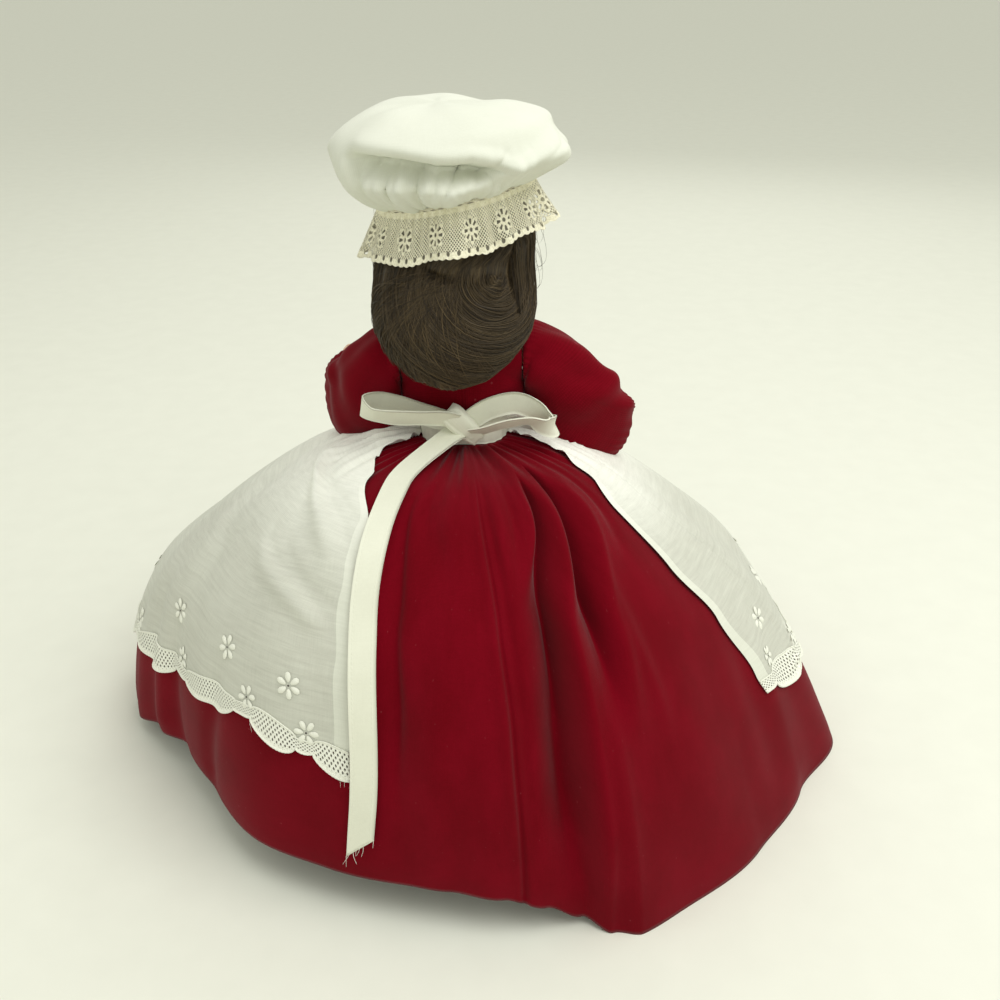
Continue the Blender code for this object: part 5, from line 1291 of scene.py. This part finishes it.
def super_ring(half_width, half_depth, height, turn, power):
    """Points of superellipses: x = a |cos|^p, y = b |sin|^p, with the signs of cos and sin."""
    x = half_width * signed_power(np.cos(turn), power)
    y = half_depth * signed_power(np.sin(turn), power)
    return np.stack(np.broadcast_arrays(x, y, height), -1)


def face_bump(turn, height, side, drop, spread, tall):
    """A bell across the face: side and spread in degrees, drop below the middle and tall as
    shares of the head's half height."""
    away = from_line(np.degrees(turn), side)
    return np.exp(-(away / spread) ** 2 - ((height + drop) / tall) ** 2)


# Bumps of the face: size in mm, then what face_bump takes
FACE = (
    (1.9, -90.0, 0.20, 8.0, 0.10), (0.5, -90.0, 0.02, 5.0, 0.14), (0.45, -83.0, 0.25, 4.0, 0.05),
    (0.45, -97.0, 0.25, 4.0, 0.05), (1.1, -115.0, 0.36, 18.0, 0.22), (1.1, -65.0, 0.36, 18.0, 0.22),
    (1.1, -90.0, 0.80, 16.0, 0.16), (0.75, -90.0, 0.515, 7.5, 0.035),
    (0.85, -90.0, 0.585, 6.5, 0.04), (-0.55, -90.0, 0.548, 8.0, 0.012),
    (-0.4, -90.0, 0.43, 1.6, 0.05), (-0.35, -90.0, 0.655, 7.0, 0.03),
    (-0.7, -112.0, 0.06, 13.0, 0.13), (-0.7, -68.0, 0.06, 13.0, 0.13),
    (0.5, -111.0, -0.16, 14.0, 0.07), (0.5, -69.0, -0.16, 14.0, 0.07),
)


def head_surface(turn, polar):
    """An egg with a narrowed jaw: half widths times sines and cosines of the turn and of the
    angle from the neck, plus the face's bumps: nose, nostrils, cheeks, chin, lips, sockets."""
    height = -np.cos(polar)
    taper = 1.0 - 0.16 * np.minimum(0.0, height) ** 2
    swell = sum(size * MM * face_bump(turn, height, *where) for size, *where in FACE)
    wide, deep = HEAD_WIDE * taper + swell, HEAD_DEEP * taper + swell
    x = wide * np.sin(polar) * np.cos(turn)
    y = deep * np.sin(polar) * np.sin(turn)
    return np.stack([x, y, HEAD_MIDDLE + HEAD_TALL * height + 0.0 * turn], -1)


def open_hole(far, inside):
    """For a ring-shaped grid and a hole in it, with far the distances from the hole's middle as
    shares of its reach: what offsets from the middle are divided by to draw the points inside
    onto the hole's edge, and which faces stay."""
    faces, _ = quads(*far.shape, False, True)
    pull = np.where(inside, np.maximum(far, 1e-3), 1.0)
    return pull, ~inside.reshape(-1)[faces].all(1)


def make_head(which):
    """A hollow head whose faces stop at the two eye openings, with a soft rim at each."""
    matrix = FRAMES[which]
    place = np.linspace(-1.0, 1.0, steps_for(which, 240), endpoint=False)[None, :]
    turn = -0.5 * np.pi + np.pi * (0.42 * place + 0.58 * place ** 3)
    start = math.asin((NECK_RADIUS + 2.2 * MM) / HEAD_WIDE)
    polar = np.linspace(np.pi * 0.995, start, steps_for(which, 190))[:, None]
    grid = head_surface(turn, polar)
    neck = super_ring(NECK_RADIUS, NECK_RADIUS, NECK_TURN_HEIGHT, turn, 1.0)
    grid = np.concatenate([grid, 0.5 * (grid[-1:] + neck), neck])
    far = np.stack([np.hypot((grid[..., 0] - side * EYE_AT[0]) / EYE_OPEN[0],
                             (grid[..., 2] - EYE_AT[2]) / EYE_OPEN[1]) for side in (1.0, -1.0)])
    far = np.where(grid[..., 1] < 0.0, far, 9.0)
    nearest = np.where(far[0] < far[1], 1.0, -1.0) * EYE_AT[0]
    least = far.min(0)
    pull, keep = open_hole(least, least < 1.0)
    snapped = grid.copy()
    snapped[..., 0] = nearest + (grid[..., 0] - nearest) / pull
    snapped[..., 2] = EYE_AT[2] + (grid[..., 2] - EYE_AT[2]) / pull
    painted = np.concatenate([grid, grid[:, :1]], 1)
    uv = np.stack([painted[..., 0], painted[..., 2] - EYE_AT[2]], -1)
    middle = np.array([0.0, 0.0, HEAD_MIDDLE])
    wall = np.where(snapped[..., 2:] > 50.0 * MM, 0.93, 0.85)
    inner = middle + (snapped - middle) * wall
    inner[-2:] = snapped[-2:] * np.array([0.72, 0.72, 1.0])
    head = cloth_shell(which + "_head_skin", moved(snapped, matrix), moved(inner, matrix), SKIN,
                       None, True, True, uv, keep)
    dress_piece(head, which + "_head_turn", "skin", which + "_head")
    turn = turns(64)[0]
    for side, word in SIDES:
        x = side * EYE_AT[0] + EYE_OPEN[0] * 1.03 * np.cos(turn)
        z = EYE_AT[2] + EYE_OPEN[1] * 1.05 * np.sin(turn)
        height = (z - HEAD_MIDDLE) / HEAD_TALL
        y = -HEAD_DEEP * np.sqrt(1.0 - (x / HEAD_WIDE) ** 2 - height ** 2) + 0.35 * MM
        path = np.stack([x, y, z], -1)
        tube = tube_grid(np.concatenate([path, path[:2]]), 0.5 * MM, 8)[1:-1]
        rim = loop_piece(which + "_eye_rim_" + word, moved(tube, matrix), LASH, (0.003, 0.024))
        dress_piece(rim, which + "_head_turn", "skin")


def make_eyes(which):
    """Balls about the gaze: U is the roll about it, V the arc from it.  The lower doll's are
    turned down, as sleep eyes do when the doll stands on its head."""
    closed = EYES_SHUT if which == LOWER else 0.0
    pivot = shifted(FRAMES[which], (0.0, EYE_AT[1], EYE_AT[2]), 0.0, closed)
    roll = turns(48)
    arc = np.linspace(0.02, np.pi - 0.02, 36)[:, None]
    for side, word in SIDES:
        ball = EYE_SIZE * 0.985 * np.stack([np.sin(arc) * np.cos(roll), -np.cos(arc) + 0.0 * roll,
                                            np.sin(arc) * np.sin(roll)], -1)
        wide = np.array([side * EYE_AT[0], 0.0, 0.0])
        eye = loop_piece(which + "_eye_ball_" + word, moved(ball + wide, pivot), EYE,
                         (2.0 * np.pi, np.pi), True)
        dress_piece(eye, which + "_sleep_eyes", "eye", which + "_eye_" + word)


# ---- Wig ----

WIG_EDGES = (
    (0.0, 0.250), (26.0, 0.275), (42.0, 0.320), (60.0, 0.380), (80.0, 0.440), (100.0, 0.530),
    (120.0, 0.660), (145.0, 0.790), (180.0, 0.845),
)
WIG_TOP = 108.0 * MM
WIG_REACH = 30.0 * MM
WHORL = 95.0 * MM
# Shares of the strands that fall from the crown and that turn in the swirl; the rest fan out
FALLING_SHARE = 0.34
TURNING_SHARE = 0.36


def wig_edge(turn):
    """Height of the wig's edge by angle: low at the nape, high over the face."""
    away = np.abs(from_line(np.degrees(turn), 90.0))
    return WIG_TOP * read_table(WIG_EDGES, away)


def wig_surface(turn, share, inset=0.0):
    """An egg over the head from its crown (share 1) to its edge (0), swelling at the nape
    into a roll: the bulge is a bell about the roll's height, times the back's sine."""
    edge = wig_edge(turn)
    height = edge + (WIG_TOP - edge) * share
    tall = WIG_TOP - HEAD_MIDDLE
    rise = np.clip((height - HEAD_MIDDLE) / tall, 0.0, 1.0)
    narrow = np.sqrt(np.maximum(1.0 - rise ** 2, 0.0))
    back = np.clip(0.32 + 0.85 * np.sin(turn), 0.0, 1.0)
    bulge = 6.2 * MM * back * np.exp(-((height - 46.0 * MM) / (17.0 * MM)) ** 2)
    crease = height - 69.5 * MM + 9.0 * MM * (turn - 1.4)
    bulge = bulge - 1.6 * MM * bell(crease, 0.0, 1.6 * MM) * bell(turn, 1.45, 0.42)
    thin = 1.0 - np.sqrt(np.minimum(1.0, np.maximum(share, 0.0) / 0.16))
    bulge = bulge - inset - 3.2 * MM * thin * (0.3 + 0.7 * back)
    bulge = bulge - 1.3 * MM * ramp(height, 74.0 * MM, 86.0 * MM)
    x = (27.5 * MM + bulge) * narrow * np.cos(turn)
    x = x + 3.2 * MM * back * ramp(0.080 - height, 0.0, 0.015)
    y = (29.0 * MM + bulge) * narrow * np.sin(turn)
    return np.stack([x, y, height - inset * 0.8 * (share > 0.5)], -1)


def swept(turn, down):
    """The way the hair is brushed: out from a whorl under the cap at the back, to the right."""
    away = turn - np.pi / 2.0
    near = bell(away, 0.0, 1.3)
    fan = 1.0 - near * 0.55 * ramp_down(down, 0.0, 0.55)
    return np.pi / 2.0 + away * fan + near * 0.30 * np.sin(np.pi * np.minimum(down * 1.15, 1.0))


def make_wig(which, strands):
    """A grooved base with two sides, strands on it and frizz beside it.  A strand falls from
    the crown, turns in a swirl at the back, or fans out from under the cap."""
    turn = turns(steps_for(which, 280))
    down = np.linspace(0.0, 1.0, steps_for(which, 110))[:, None]
    share = 0.995 - 0.995 * down
    grooves = np.sin(turn * 90.0 + 4.0 * np.sin(down * 3.0 + turn * 5.0)) * 0.16 * MM
    grooves = grooves + np.sin(turn * 37.0 + 3.0 * np.sin(down * 4.0)) * 0.22 * MM
    outer = wig_surface(turn, share, 0.35 * MM)
    reach = np.hypot(outer[..., 0], outer[..., 1])
    outer[..., :2] *= (1.0 + grooves / np.maximum(reach, 1e-3))[..., None]
    inner = wig_surface(turn, share, 3.3 * MM)
    matrix = FRAMES[which]
    base = cloth_shell(which + "_wig_base", moved(outer, matrix), moved(inner, matrix), HAIR,
                       (0.17, 0.08), True, True)
    body = which + "_head_turn"
    dress_piece(base, body, "hair", which + "_wig")
    draw = np.random.default_rng(21)
    steps = np.linspace(0.0, 1.0, 13)[None, :]

    def some(low, high, count=strands):
        return draw.uniform(low, high, count)[:, None]

    start = some(0.0, 2.0 * np.pi)
    fall = steps * some(0.86, 1.0)
    way = swept(start, fall) + draw.normal(0.0, 0.05, strands)[:, None] * steps
    way = way + 0.02 * np.sin(steps * some(3.0, 9.0) + start * 9.0)
    edge = wig_edge(way)
    behind = bell(way, 1.5, 0.95)
    level = WHORL - (WHORL - edge) * fall
    level = np.where(behind > 0.4, WHORL - 26.5 * MM * fall, level)
    falling = np.stack([way, level])
    swirl, first = some(1.5, 45.0) * MM, np.pi + some(-0.2, 0.8)
    angle = first + steps * some(0.9, 2.4)
    away = 19.0 * MM + swirl * np.cos(angle)
    level = 68.5 * MM + 0.95 * swirl * np.sin(angle)
    level = level + 0.4 * MM * np.sin(angle * 5.0 + swirl * 900.0)
    turning = np.stack([np.pi / 2.0 + away / WIG_REACH, level])
    angle = some(3.05, 4.75) + 0.5 * steps
    long = some(12.0, 40.0) * MM * steps
    away = some(-14.0, 6.0) * MM + long * np.cos(angle)
    level = some(60.0, 70.0) * MM + long * np.sin(angle)
    fanned = np.stack([np.pi / 2.0 + away / WIG_REACH, level])
    lot = some(0.0, 1.0)
    others = np.where(lot < FALLING_SHARE + TURNING_SHARE, turning, fanned)
    way, level = np.where(lot < FALLING_SHARE, falling, others)
    edge = wig_edge(way)
    share = np.clip((level - edge) / (WIG_TOP - edge), 0.005, 0.97)
    out = some(-0.15, 0.75) + 0.3 * np.sin(start * 23.0) * np.sin(3.0 * steps)
    paths = wig_surface(way, share, -out * MM)
    hair = strand_mesh(which + "_hair_strands", moved(paths, matrix), 0.11 * MM, HAIR)
    dress_piece(hair, body, "hair")
    count = 20
    side = np.where(np.arange(count)[:, None] % 4 == 0, 1.0, -1.0)
    reach = some(1.0, 8.5, count) * np.where(side > 0.0, 0.4, 1.0)
    arc = np.pi * steps * some(0.75, 1.0, count)
    x = side * (25.5 + reach * np.sin(arc) ** 0.8) + 2.0
    y = some(-3.0, 12.0, count) + 3.0 * np.sin(arc * 1.7 + side)
    z = some(60.0, 80.0, count) + some(4.0, 12.0, count) * np.cos(arc) + np.sin(arc * 3.0)
    frizz = strand_mesh(which + "_hair_frizz", moved(np.stack([x, y, z], -1) * MM, matrix),
                        0.05 * MM, HAIR)
    dress_piece(frizz, body, "hair")


def strand_mesh(name, paths, radius, material):
    """Many thin threads as one mesh: paths is threads by steps by 3, each a tapered tube with
    closed ends.  U goes up by 1.7 mm from thread to thread, V by 2 mm from step to step."""
    count, steps = paths.shape[:2]
    along = headings(paths, 1e-9)
    across = unit(np.cross(along, STRAND_START), 1e-6)
    over = np.cross(along, across)
    turn = turns(THREAD_SIDES)[0, :, None]
    taper = np.interp(np.linspace(0.0, 1.0, steps), (0.0, 0.1, 0.75, 1.0), (0.5, 1.0, 1.0, 0.35))
    ring = across[:, :, None] * np.cos(turn) + over[:, :, None] * np.sin(turn)
    points = (paths[:, :, None] + ring * (radius * taper)[None, :, None, None]).reshape(-1, 3)
    faces = thread_faces(count, steps)
    if inside_out(points, faces):
        faces = faces[:, ::-1]
    ring_number = faces // THREAD_SIDES
    uv = np.stack([(ring_number // steps) * 0.0017, (ring_number % steps) * 0.002], -1)
    return add_mesh(name, points, faces, material, uv.reshape(-1, 2))


# ---- Cap and its lace ----

CAP_PROFILE = ((0.60, 0.00), (0.675, 0.03), (0.83, 0.14), (0.97, 0.30), (1.00, 0.52),
               (0.90, 0.76), (0.62, 0.94), (0.30, 0.995), (0.02, 1.00))
# Lumps of the crown: angle from the left hand, share of height, two spreads, depth in mm
CAP_LUMPS = (
    (98.0, 0.74, 52.0, 0.12, 1.2), (2.0, 0.84, 40.0, 0.20, -3.6), (0.0, 0.40, 30.0, 0.26, -2.4),
    (6.0, 0.60, 9.0, 0.10, 1.0), (152.0, 0.32, 17.0, 0.20, 4.6), (190.0, 0.62, 28.0, 0.24, -4.4),
    (232.0, 0.40, 14.0, 0.16, -1.6), (268.0, 0.46, 20.0, 0.14, 1.6), (292.0, 0.34, 9.0, 0.20, -1.6),
    (320.0, 0.52, 16.0, 0.16, 1.4), (250.0, 0.66, 12.0, 0.12, -1.0), (28.0, 0.30, 5.0, 0.20, -0.9),
    (184.0, 0.82, 30.0, 0.16, 2.4),
)
# Slanted pleats at the back: angle at the gathers and half way up, half width, depth in mm
CAP_PLEATS = (
    (92.0, 118.0, 2.2, -1.2), (82.0, 101.0, 2.0, -1.6), (74.0, 87.0, 2.4, 2.4),
    (69.0, 80.0, 2.4, -1.8), (61.0, 72.0, 2.2, 2.0), (55.0, 64.0, 2.6, -2.0),
    (47.0, 54.0, 2.6, 1.4), (40.0, 44.0, 2.2, -1.4), (34.0, 36.0, 2.4, 0.8),
)
CAP_LIP = ((34.0, 0.62), (47.0, 0.68), (70.0, 0.63), (87.0, 0.58), (104.0, 0.54), (116.0, 0.45),
           (124.0, 0.34))
CAP_ROLL = ((74.0, 0.06), (80.0, 0.12), (94.0, 0.17), (107.0, 0.25), (120.0, 0.31), (144.0, 0.45),
            (160.0, 0.56))


def crown_surface(turn, step):
    """The crown's cloth from its gathers (step 0) to its middle (1): a profile turned about
    the band, with gathers that fade upwards, lumps, creases and a flop back to level."""
    profile = curve_through(CAP_PROFILE, 400)
    at = np.linspace(0.0, 1.0, 400)
    reach, rise = np.interp(step, at, profile[:, 0]), np.interp(step, at, profile[:, 1])
    radius = CAP_REACH * reach
    fade = np.maximum(0.0, 1.0 - rise / 0.76)
    radius = radius + 1.6 * MM * fade * np.cos(12.0 * turn)
    pleat = np.sin(turn * 41.0 + 2.5 * np.sin(turn * 6.0))
    pleat = pleat + 0.6 * np.sin(turn * 67.0 + 3.0 * np.sin(turn * 4.0))
    degrees = np.degrees(turn)
    near = plateau(degrees, 74.0, 84.0, 146.0, 166.0)
    radius = radius + 0.75 * MM * pleat * fade ** 1.6 * ramp(step, 0.0, 0.06) * (1.0 - 0.30 * near)
    for middle, level, spread, tall, depth in CAP_LUMPS:
        away = from_line(degrees, middle)
        lump = np.exp(-(away / spread) ** 2 - ((rise - level) / tall) ** 2)
        radius = radius + depth * MM * lump * ramp_down(step, 0.80, 0.95)
    across = degrees % 360.0
    under = np.interp(across, *np.array(CAP_LIP).T) - rise
    window = plateau(across, 36.0, 54.0, 108.0, 130.0)
    hollow = plateau(under, -0.01, 0.09, 0.14, 0.36)
    radius = radius + window * (2.0 * MM * bell(under, -0.06, 0.07) - 8.6 * MM * hollow)
    roll = np.interp(across, *np.array(CAP_ROLL).T)
    radius = radius + near * 3.4 * MM * bell(rise, roll, 0.09)
    crease = rise - 0.37 - (across - 140.0) * 0.0077
    radius = radius - 2.2 * MM * bell(crease, 0.04, 0.05) * bell(across, 150.0, 12.0)
    for low, high, half_width, depth in CAP_PLEATS:
        fold = bell(across, low + (high - low) * rise / 0.5, half_width)
        fold = fold * ramp_down(rise, 0.42, 0.60) * (0.35 + 0.65 * ramp(rise, 0.02, 0.30))
        radius = radius + depth * MM * fold
    soft = waves((turn, step * 6.0), (3.0, 5.0, 7.0), 5) * plateau(step, 0.3, 0.6, 0.86, 1.0)
    height = CAP_HEIGHT * rise + 0.8 * MM * soft - 2.4 * MM * ramp(step, 0.6, 1.0)
    low_side = bell(across, 215.0, 48.0) * ramp(rise, 0.55, 0.9) * ramp_down(step, 0.8, 1.0)
    height = height - 3.4 * MM * low_side
    x = radius * np.cos(turn)
    height = height + x * math.tan(math.radians(6.0)) * np.minimum(1.0, rise / 0.5)
    return np.stack([x, radius * np.sin(turn), height], -1)


def make_cap(which):
    """The crown over its band, and a ruffle below it: a cone that is shorter and wider over the
    face, with flutes, finer gathers and a scalloped edge."""
    cap = shifted(FRAMES[which], (0.0, 0.0, CAP_AT), CAP_TILT)
    body = which + "_head_turn"
    step = np.linspace(1.0, 0.0, steps_for(which, 138))[:, None]
    grid = crown_surface(turns(steps_for(which, 350)), step)
    crown = cloth_shell(which + "_cap_cloth", moved(grid, cap), 0.7 * MM, CAP_COTTON, (0.24, 0.07),
                        True, True)
    dress_piece(crown, body, "cap", which + "_cap_crown")
    turn = turns(steps_for(which, 900))
    down = np.linspace(0.0, 1.0, steps_for(which, 22))[:, None]
    flute = 1.2 * np.cos(12.0 * turn) + 1.7 * np.sin(9.0 * turn + 1.5 * np.sin(2.0 * turn))
    flute = MM * down * (flute + 0.8 * np.sin(17.0 * turn + 1.0))
    fine = (0.5 * np.sin(turn * 53.0 + 2.0 * np.sin(turn * 5.0)) * (1.0 - down)
            + 0.8 * np.sin(turn * 21.0 + 2.0 * np.sin(turn * 3.0)) * down) * MM
    picot = 0.5 * MM * np.abs(np.sin(turn * 44.0)) * ramp(down, 0.9, 1.0)
    front = ramp(-np.sin(turn), 0.1, 0.85)
    reach = BAND_RADIUS + (6.4 + 3.6 * front) * MM * down + flute + fine
    hang = (15.0 - 5.4 * front + 0.9 * np.sin(7.0 * turn + 0.6)) * MM * down
    ruffle = np.stack([reach * np.cos(turn) + 2.4 * MM * down, reach * np.sin(turn),
                       -0.4 * MM - hang - picot], -1)
    lace = cloth_shell(which + "_cap_ruffle", moved(ruffle, cap), 0.3 * MM, LACE,
                       (0.256, 0.0148), True)
    dress_piece(lace, body, "lace", which + "_cap_lace")


# ---- Bodice, arms and sleeves ----

SHOULDER_REACH, SHOULDER_HEIGHT = 21.6 * MM, 32.0 * MM
ARMHOLE_RADIUS = 8.4 * MM
BODY_SECTIONS = (
    (0.00, 0.62, 0.87), (0.24, 0.66, 0.90), (0.50, 0.86, 1.00), (0.68, 1.00, 1.00),
    (0.81, 0.95, 0.90), (0.90, 0.64, 0.76),
)


def make_bodice(which, material, slot):
    """Cloth over the torso: its sections, set out, joined by a smooth curve up to the neckline.
    Faces within the armholes' circles are left out."""
    rows = [((21.0 * wide + 1.5) * MM, (11.5 * deep + 1.5) * MM,
             (1.5 + 45.5 * high + (high > 0.78)) * MM, 0.8) for high, wide, deep in BODY_SECTIONS]
    rows.append((10.4 * MM, 10.0 * MM, 45.4 * MM, 1.0))
    line = curve_through(rows, steps_for(which, 90))
    turn = turns(steps_for(which, 320))
    half_width, half_depth, height, power = (line[:, place, None] for place in range(4))
    blouse = 7.2 * MM * bell(height, 17.0 * MM, 9.5 * MM)
    half_width = half_width + blouse * ramp(height, 4.0 * MM, 11.0 * MM)
    half_depth = half_depth + 0.12 * blouse * ramp(height, 9.0 * MM, 12.0 * MM)
    pulls = 0.25 * MM * np.sin(turn * 19.0 + 2.0 * np.sin(turn * 3.0))
    degrees = np.degrees(turn)
    seam = 0.3 * MM * bell(degrees, 93.0, 1.6) - 0.45 * MM * bell(degrees, 90.0, 1.3)
    out = pulls * ramp_down(height, 4.0 * MM, 16.0 * MM) + seam
    grid = super_ring(half_width + out, half_depth + out, height, turn, power)
    inner = super_ring(half_width - 0.9 * MM, half_depth - 0.9 * MM, height, turn, power)
    for surface, reach in ((grid, SHOULDER_REACH + 0.95 * MM), (inner, SHOULDER_REACH)):
        side = np.abs(surface[..., 0])
        away = np.hypot(surface[..., 1], surface[..., 2] - SHOULDER_HEIGHT)
        flat = ramp_down(away, 10.0 * MM, 13.0 * MM) * ramp(side, 10.0 * MM, 15.0 * MM)
        side = side * (1.0 - flat) + reach * flat
        surface[..., 0] = np.sign(surface[..., 0]) * side
    far = np.hypot(grid[..., 1], grid[..., 2] - SHOULDER_HEIGHT) / ARMHOLE_RADIUS
    pull, keep = open_hole(far, (far < 1.0) & (np.abs(grid[..., 0]) > 15.0 * MM))
    for surface in (grid, inner):
        surface[..., 1] = surface[..., 1] / pull
        surface[..., 2] = SHOULDER_HEIGHT + (surface[..., 2] - SHOULDER_HEIGHT) / pull
    matrix = FRAMES[which]
    bodice = cloth_shell(which + "_bodice_cloth", moved(grid, matrix), moved(inner, matrix),
                         material, (0.125, 0.046), True, keep=keep)
    dress_piece(bodice, "torsos", slot, which + "_bodice")


ARM_ROUTE = np.array((
    (0.00, 0.00, 0.00), (0.12, 0.00, -0.03), (0.30, 0.03, -0.20), (0.55, -0.12, -0.58),
    (0.78, -0.45, -0.84), (1.00, -1.00, -1.00), (1.06, -1.30, -1.04), (1.08, -1.72, -1.06),
    (1.08, -1.98, -1.06),
)) * np.array((33.0, 15.0, 31.0)) * MM
# How far down the arm's route its sleeve ends
SLEEVE_END = 0.62
ARM_WIDE = (0.90, 1.00, 1.00, 0.86, 0.76, 0.60, 0.74, 0.62, 0.20)
ARM_FLAT = (1.0, 1.0, 1.0, 1.0, 1.0, 0.9, 0.62, 0.55, 0.5)
PUFF = ((0.0, 0.0), (0.14, 0.78), (0.34, 1.0), (0.58, 0.80), (0.82, 0.45), (1.0, 0.0))


def limb_axes(route, side, upright):
    """Directions along a route, drawn to the shoulder's axis where upright is 1, and two
    directions square to each."""
    level = np.array([side, 0.0, 0.0])
    along = unit(headings(route) * (1.0 - upright[:, None]) + level * upright[:, None])
    across = unit(np.cross(along, np.array([0.0, 1.0, 0.0])), 1e-6)
    return across, np.cross(across, along)


def arm_route(side, spread, count):
    """The arm's middle line from its shoulder to its fingertips."""
    return curve_through(ARM_ROUTE * np.array([side * spread, 1.0, 1.0]), count)


def make_arm(which, word, side, swing, spread, sag, material, slot):
    """A limb: oval rings along its route, narrower by a table, with a wrist and grooves between
    the fingers; and the sleeve on it.  swing is in degrees from the route, spread scales its
    way outwards, sag says how far the sleeve hangs out, down and up, in mm."""
    pivot = shifted(FRAMES[which], (side * SHOULDER_REACH, 0.0, SHOULDER_HEIGHT), 0.0,
                    -math.radians(swing))
    body = which + "_arm_" + word
    count = 90
    route = arm_route(side, spread, count)
    share = np.linspace(0.0, 1.0, count)
    place = np.linspace(0.0, 1.0, 9)
    upright = ramp_down(share, 0.0, 0.12)
    across, over = limb_axes(route, side, upright)
    wide = 6.2 * MM * np.interp(share, place, ARM_WIDE)
    wide = smoothed(wide, 5)
    wide[-3:] *= (0.9, 0.75, 0.45)
    thick = wide * np.interp(share, place, ARM_FLAT)
    turn = turns(40)
    fingers = ramp(share, 0.86, 0.92)[:, None]
    groove = np.abs(np.sin(np.cos(turn) * 2.0 * np.pi)) ** 0.5
    thick = thick[:, None] * (1.0 - 0.30 * fingers * (1.0 - groove))
    wrist = 1.0 - 0.06 * bell(share, 0.655, 0.012)[:, None]
    grid = (route[:, None] + across[:, None] * (wide[:, None] * wrist * np.cos(turn))[..., None]
            - over[:, None] * (thick * wrist * np.sin(turn))[..., None])
    arm = loop_piece(f"{which}_arm_skin_{word}", moved(grid, pivot), LIMB, (0.04, 0.08), True)
    dress_piece(arm, body, "skin", f"{which}_arm_{word}")
    make_sleeve(which, word, side, spread, pivot, material, slot, np.array(sag) * MM)


def make_sleeve(which, word, side, spread, pivot, material, slot, sag):
    """A puffed tube round the arm: its radius goes from the head's to the cuff's, plus the
    puff; gathers at both ends and slanted drag folds between them."""
    count = steps_for(which, 80)
    share = np.linspace(0.0, 1.0, count)
    route = arm_route(side, spread, 900)[np.round(share * SLEEVE_END * 899).astype(int)]
    start = np.array([side * 1.2 * MM, 0.0, 0.0])
    join = ramp_down(share, 0.0, 0.12)[:, None]
    route = route * (1.0 - join) + start * join
    upright = 1.0 - np.minimum(1.0, share / 0.4)
    across, over = limb_axes(route, side, upright)
    puff = read_table(PUFF, share)
    radius = (10.0 - 4.9 * share + 6.3 * puff * (0.35 + 0.65 * share)) * MM
    turn = turns(steps_for(which, 200))
    ends = (bell(share, 0.05, 0.12) + bell(share, 0.94, 0.10))[:, None]
    gather = np.sin(turn * 31.0 + 2.0 * np.sin(turn * 5.0)) * ends * 0.25 * MM
    drag = np.sin(turn * 5.0 + share[:, None] * 9.0 + side) * (1.0 - ends) * 0.7 * MM
    bend = 0.7 * MM * np.sin(share[:, None] * 26.0 + 2.0 * np.cos(turn))
    bend = bend * bell(share, 0.6, 0.25)[:, None]
    edge = plateau(share, 0.0, 0.03, 0.97, 1.0)[:, None]
    radius = radius[:, None] + (gather + drag + bend) * edge
    grids = []
    core = FRAMES[which][:3, 3]
    outwards, upwards = side * FRAMES[which][:3, 0], FRAMES[which][:3, 2]
    full = (ramp(share, 0.10, 0.72) * (1.0 - 0.35 * ramp(share, 0.90, 1.0)))[:, None]
    puffed = bell(share, 0.86, 0.14)[:, None]
    for inset in (0.0, 0.8 * MM):
        ring = across[:, None] * np.cos(turn)[..., None] - over[:, None] * np.sin(turn)[..., None]
        grid = route[:, None] + ring * (radius - inset)[..., None]
        grid[..., 0] = side * np.maximum(side * grid[..., 0], 1.2 * MM)
        facing = ring @ pivot[:3, :3].T
        below, above = (np.maximum(0.0, way * facing @ upwards) for way in (-1.0, 1.0))
        inside, beside = (np.maximum(0.0, way * facing @ outwards) for way in (-1.0, 1.0))
        lift = above * puffed * sag[2] - below * full * sag[1]
        swell = ((beside + 0.5 * below) * sag[0] - inside * 5.0 * MM) * full
        grid = moved(grid, pivot) + lift[..., None] * upwards + swell[..., None] * outwards
        short = SHOULDER_REACH + 1.1 * MM - (grid - core) @ outwards
        grids.append(grid + np.maximum(0.0, short)[..., None] * outwards)
    name = f"{which}_sleeve_cloth_{word}"
    sleeve = cloth_shell(name, grids[0], grids[1], material, (0.072, 0.040), True)
    dress_piece(sleeve, which + "_arm_" + word, slot, f"{which}_sleeve_{word}")


def make_doll(which, material, slot, strands, swings):
    make_head(which)
    make_eyes(which)
    make_wig(which, strands)
    make_cap(which)
    make_bodice(which, material, slot)
    for side, word, pose in ((1.0, "left", swings[0]), (-1.0, "right", swings[1])):
        make_arm(which, word, side, *pose, material, slot)


def finish_solids():
    """Materials of the solids that the scene shows as they are."""
    solids = [("neck_elastic", CORD, "elastic"), ("waist_plug", WOOD, "plug")]
    for which in (UPPER, LOWER):
        solids += [(which + "_torso", SKIN_PLAIN, "skin"), (which + "_neck_bar", STEEL, "metal"),
                   (which + "_eye_rocker", STEEL, "metal"),
                   (which + "_arm_elastic", CORD, "elastic"),
                   (which + "_cap_elastic", CORD, "elastic")]
    for name, material, slot in solids:
        solid = frame["nodes"][name]
        solid.data.materials.clear()
        solid.data.materials.append(material)


make_stage()
make_skirts()
make_apron()
make_tail()
make_bow()
make_doll(UPPER, BURGUNDY, "dress", 2000,
          ((32.0, 0.72, (8.0, 19.0, 6.0)), (0.0, 1.0, (12.5, 17.0, 0.0))))
make_doll(LOWER, BLUE, "second_dress", 500, ((85.0, 0.8, (1.0, 1.0, 0.0)),) * 2)
finish_solids()
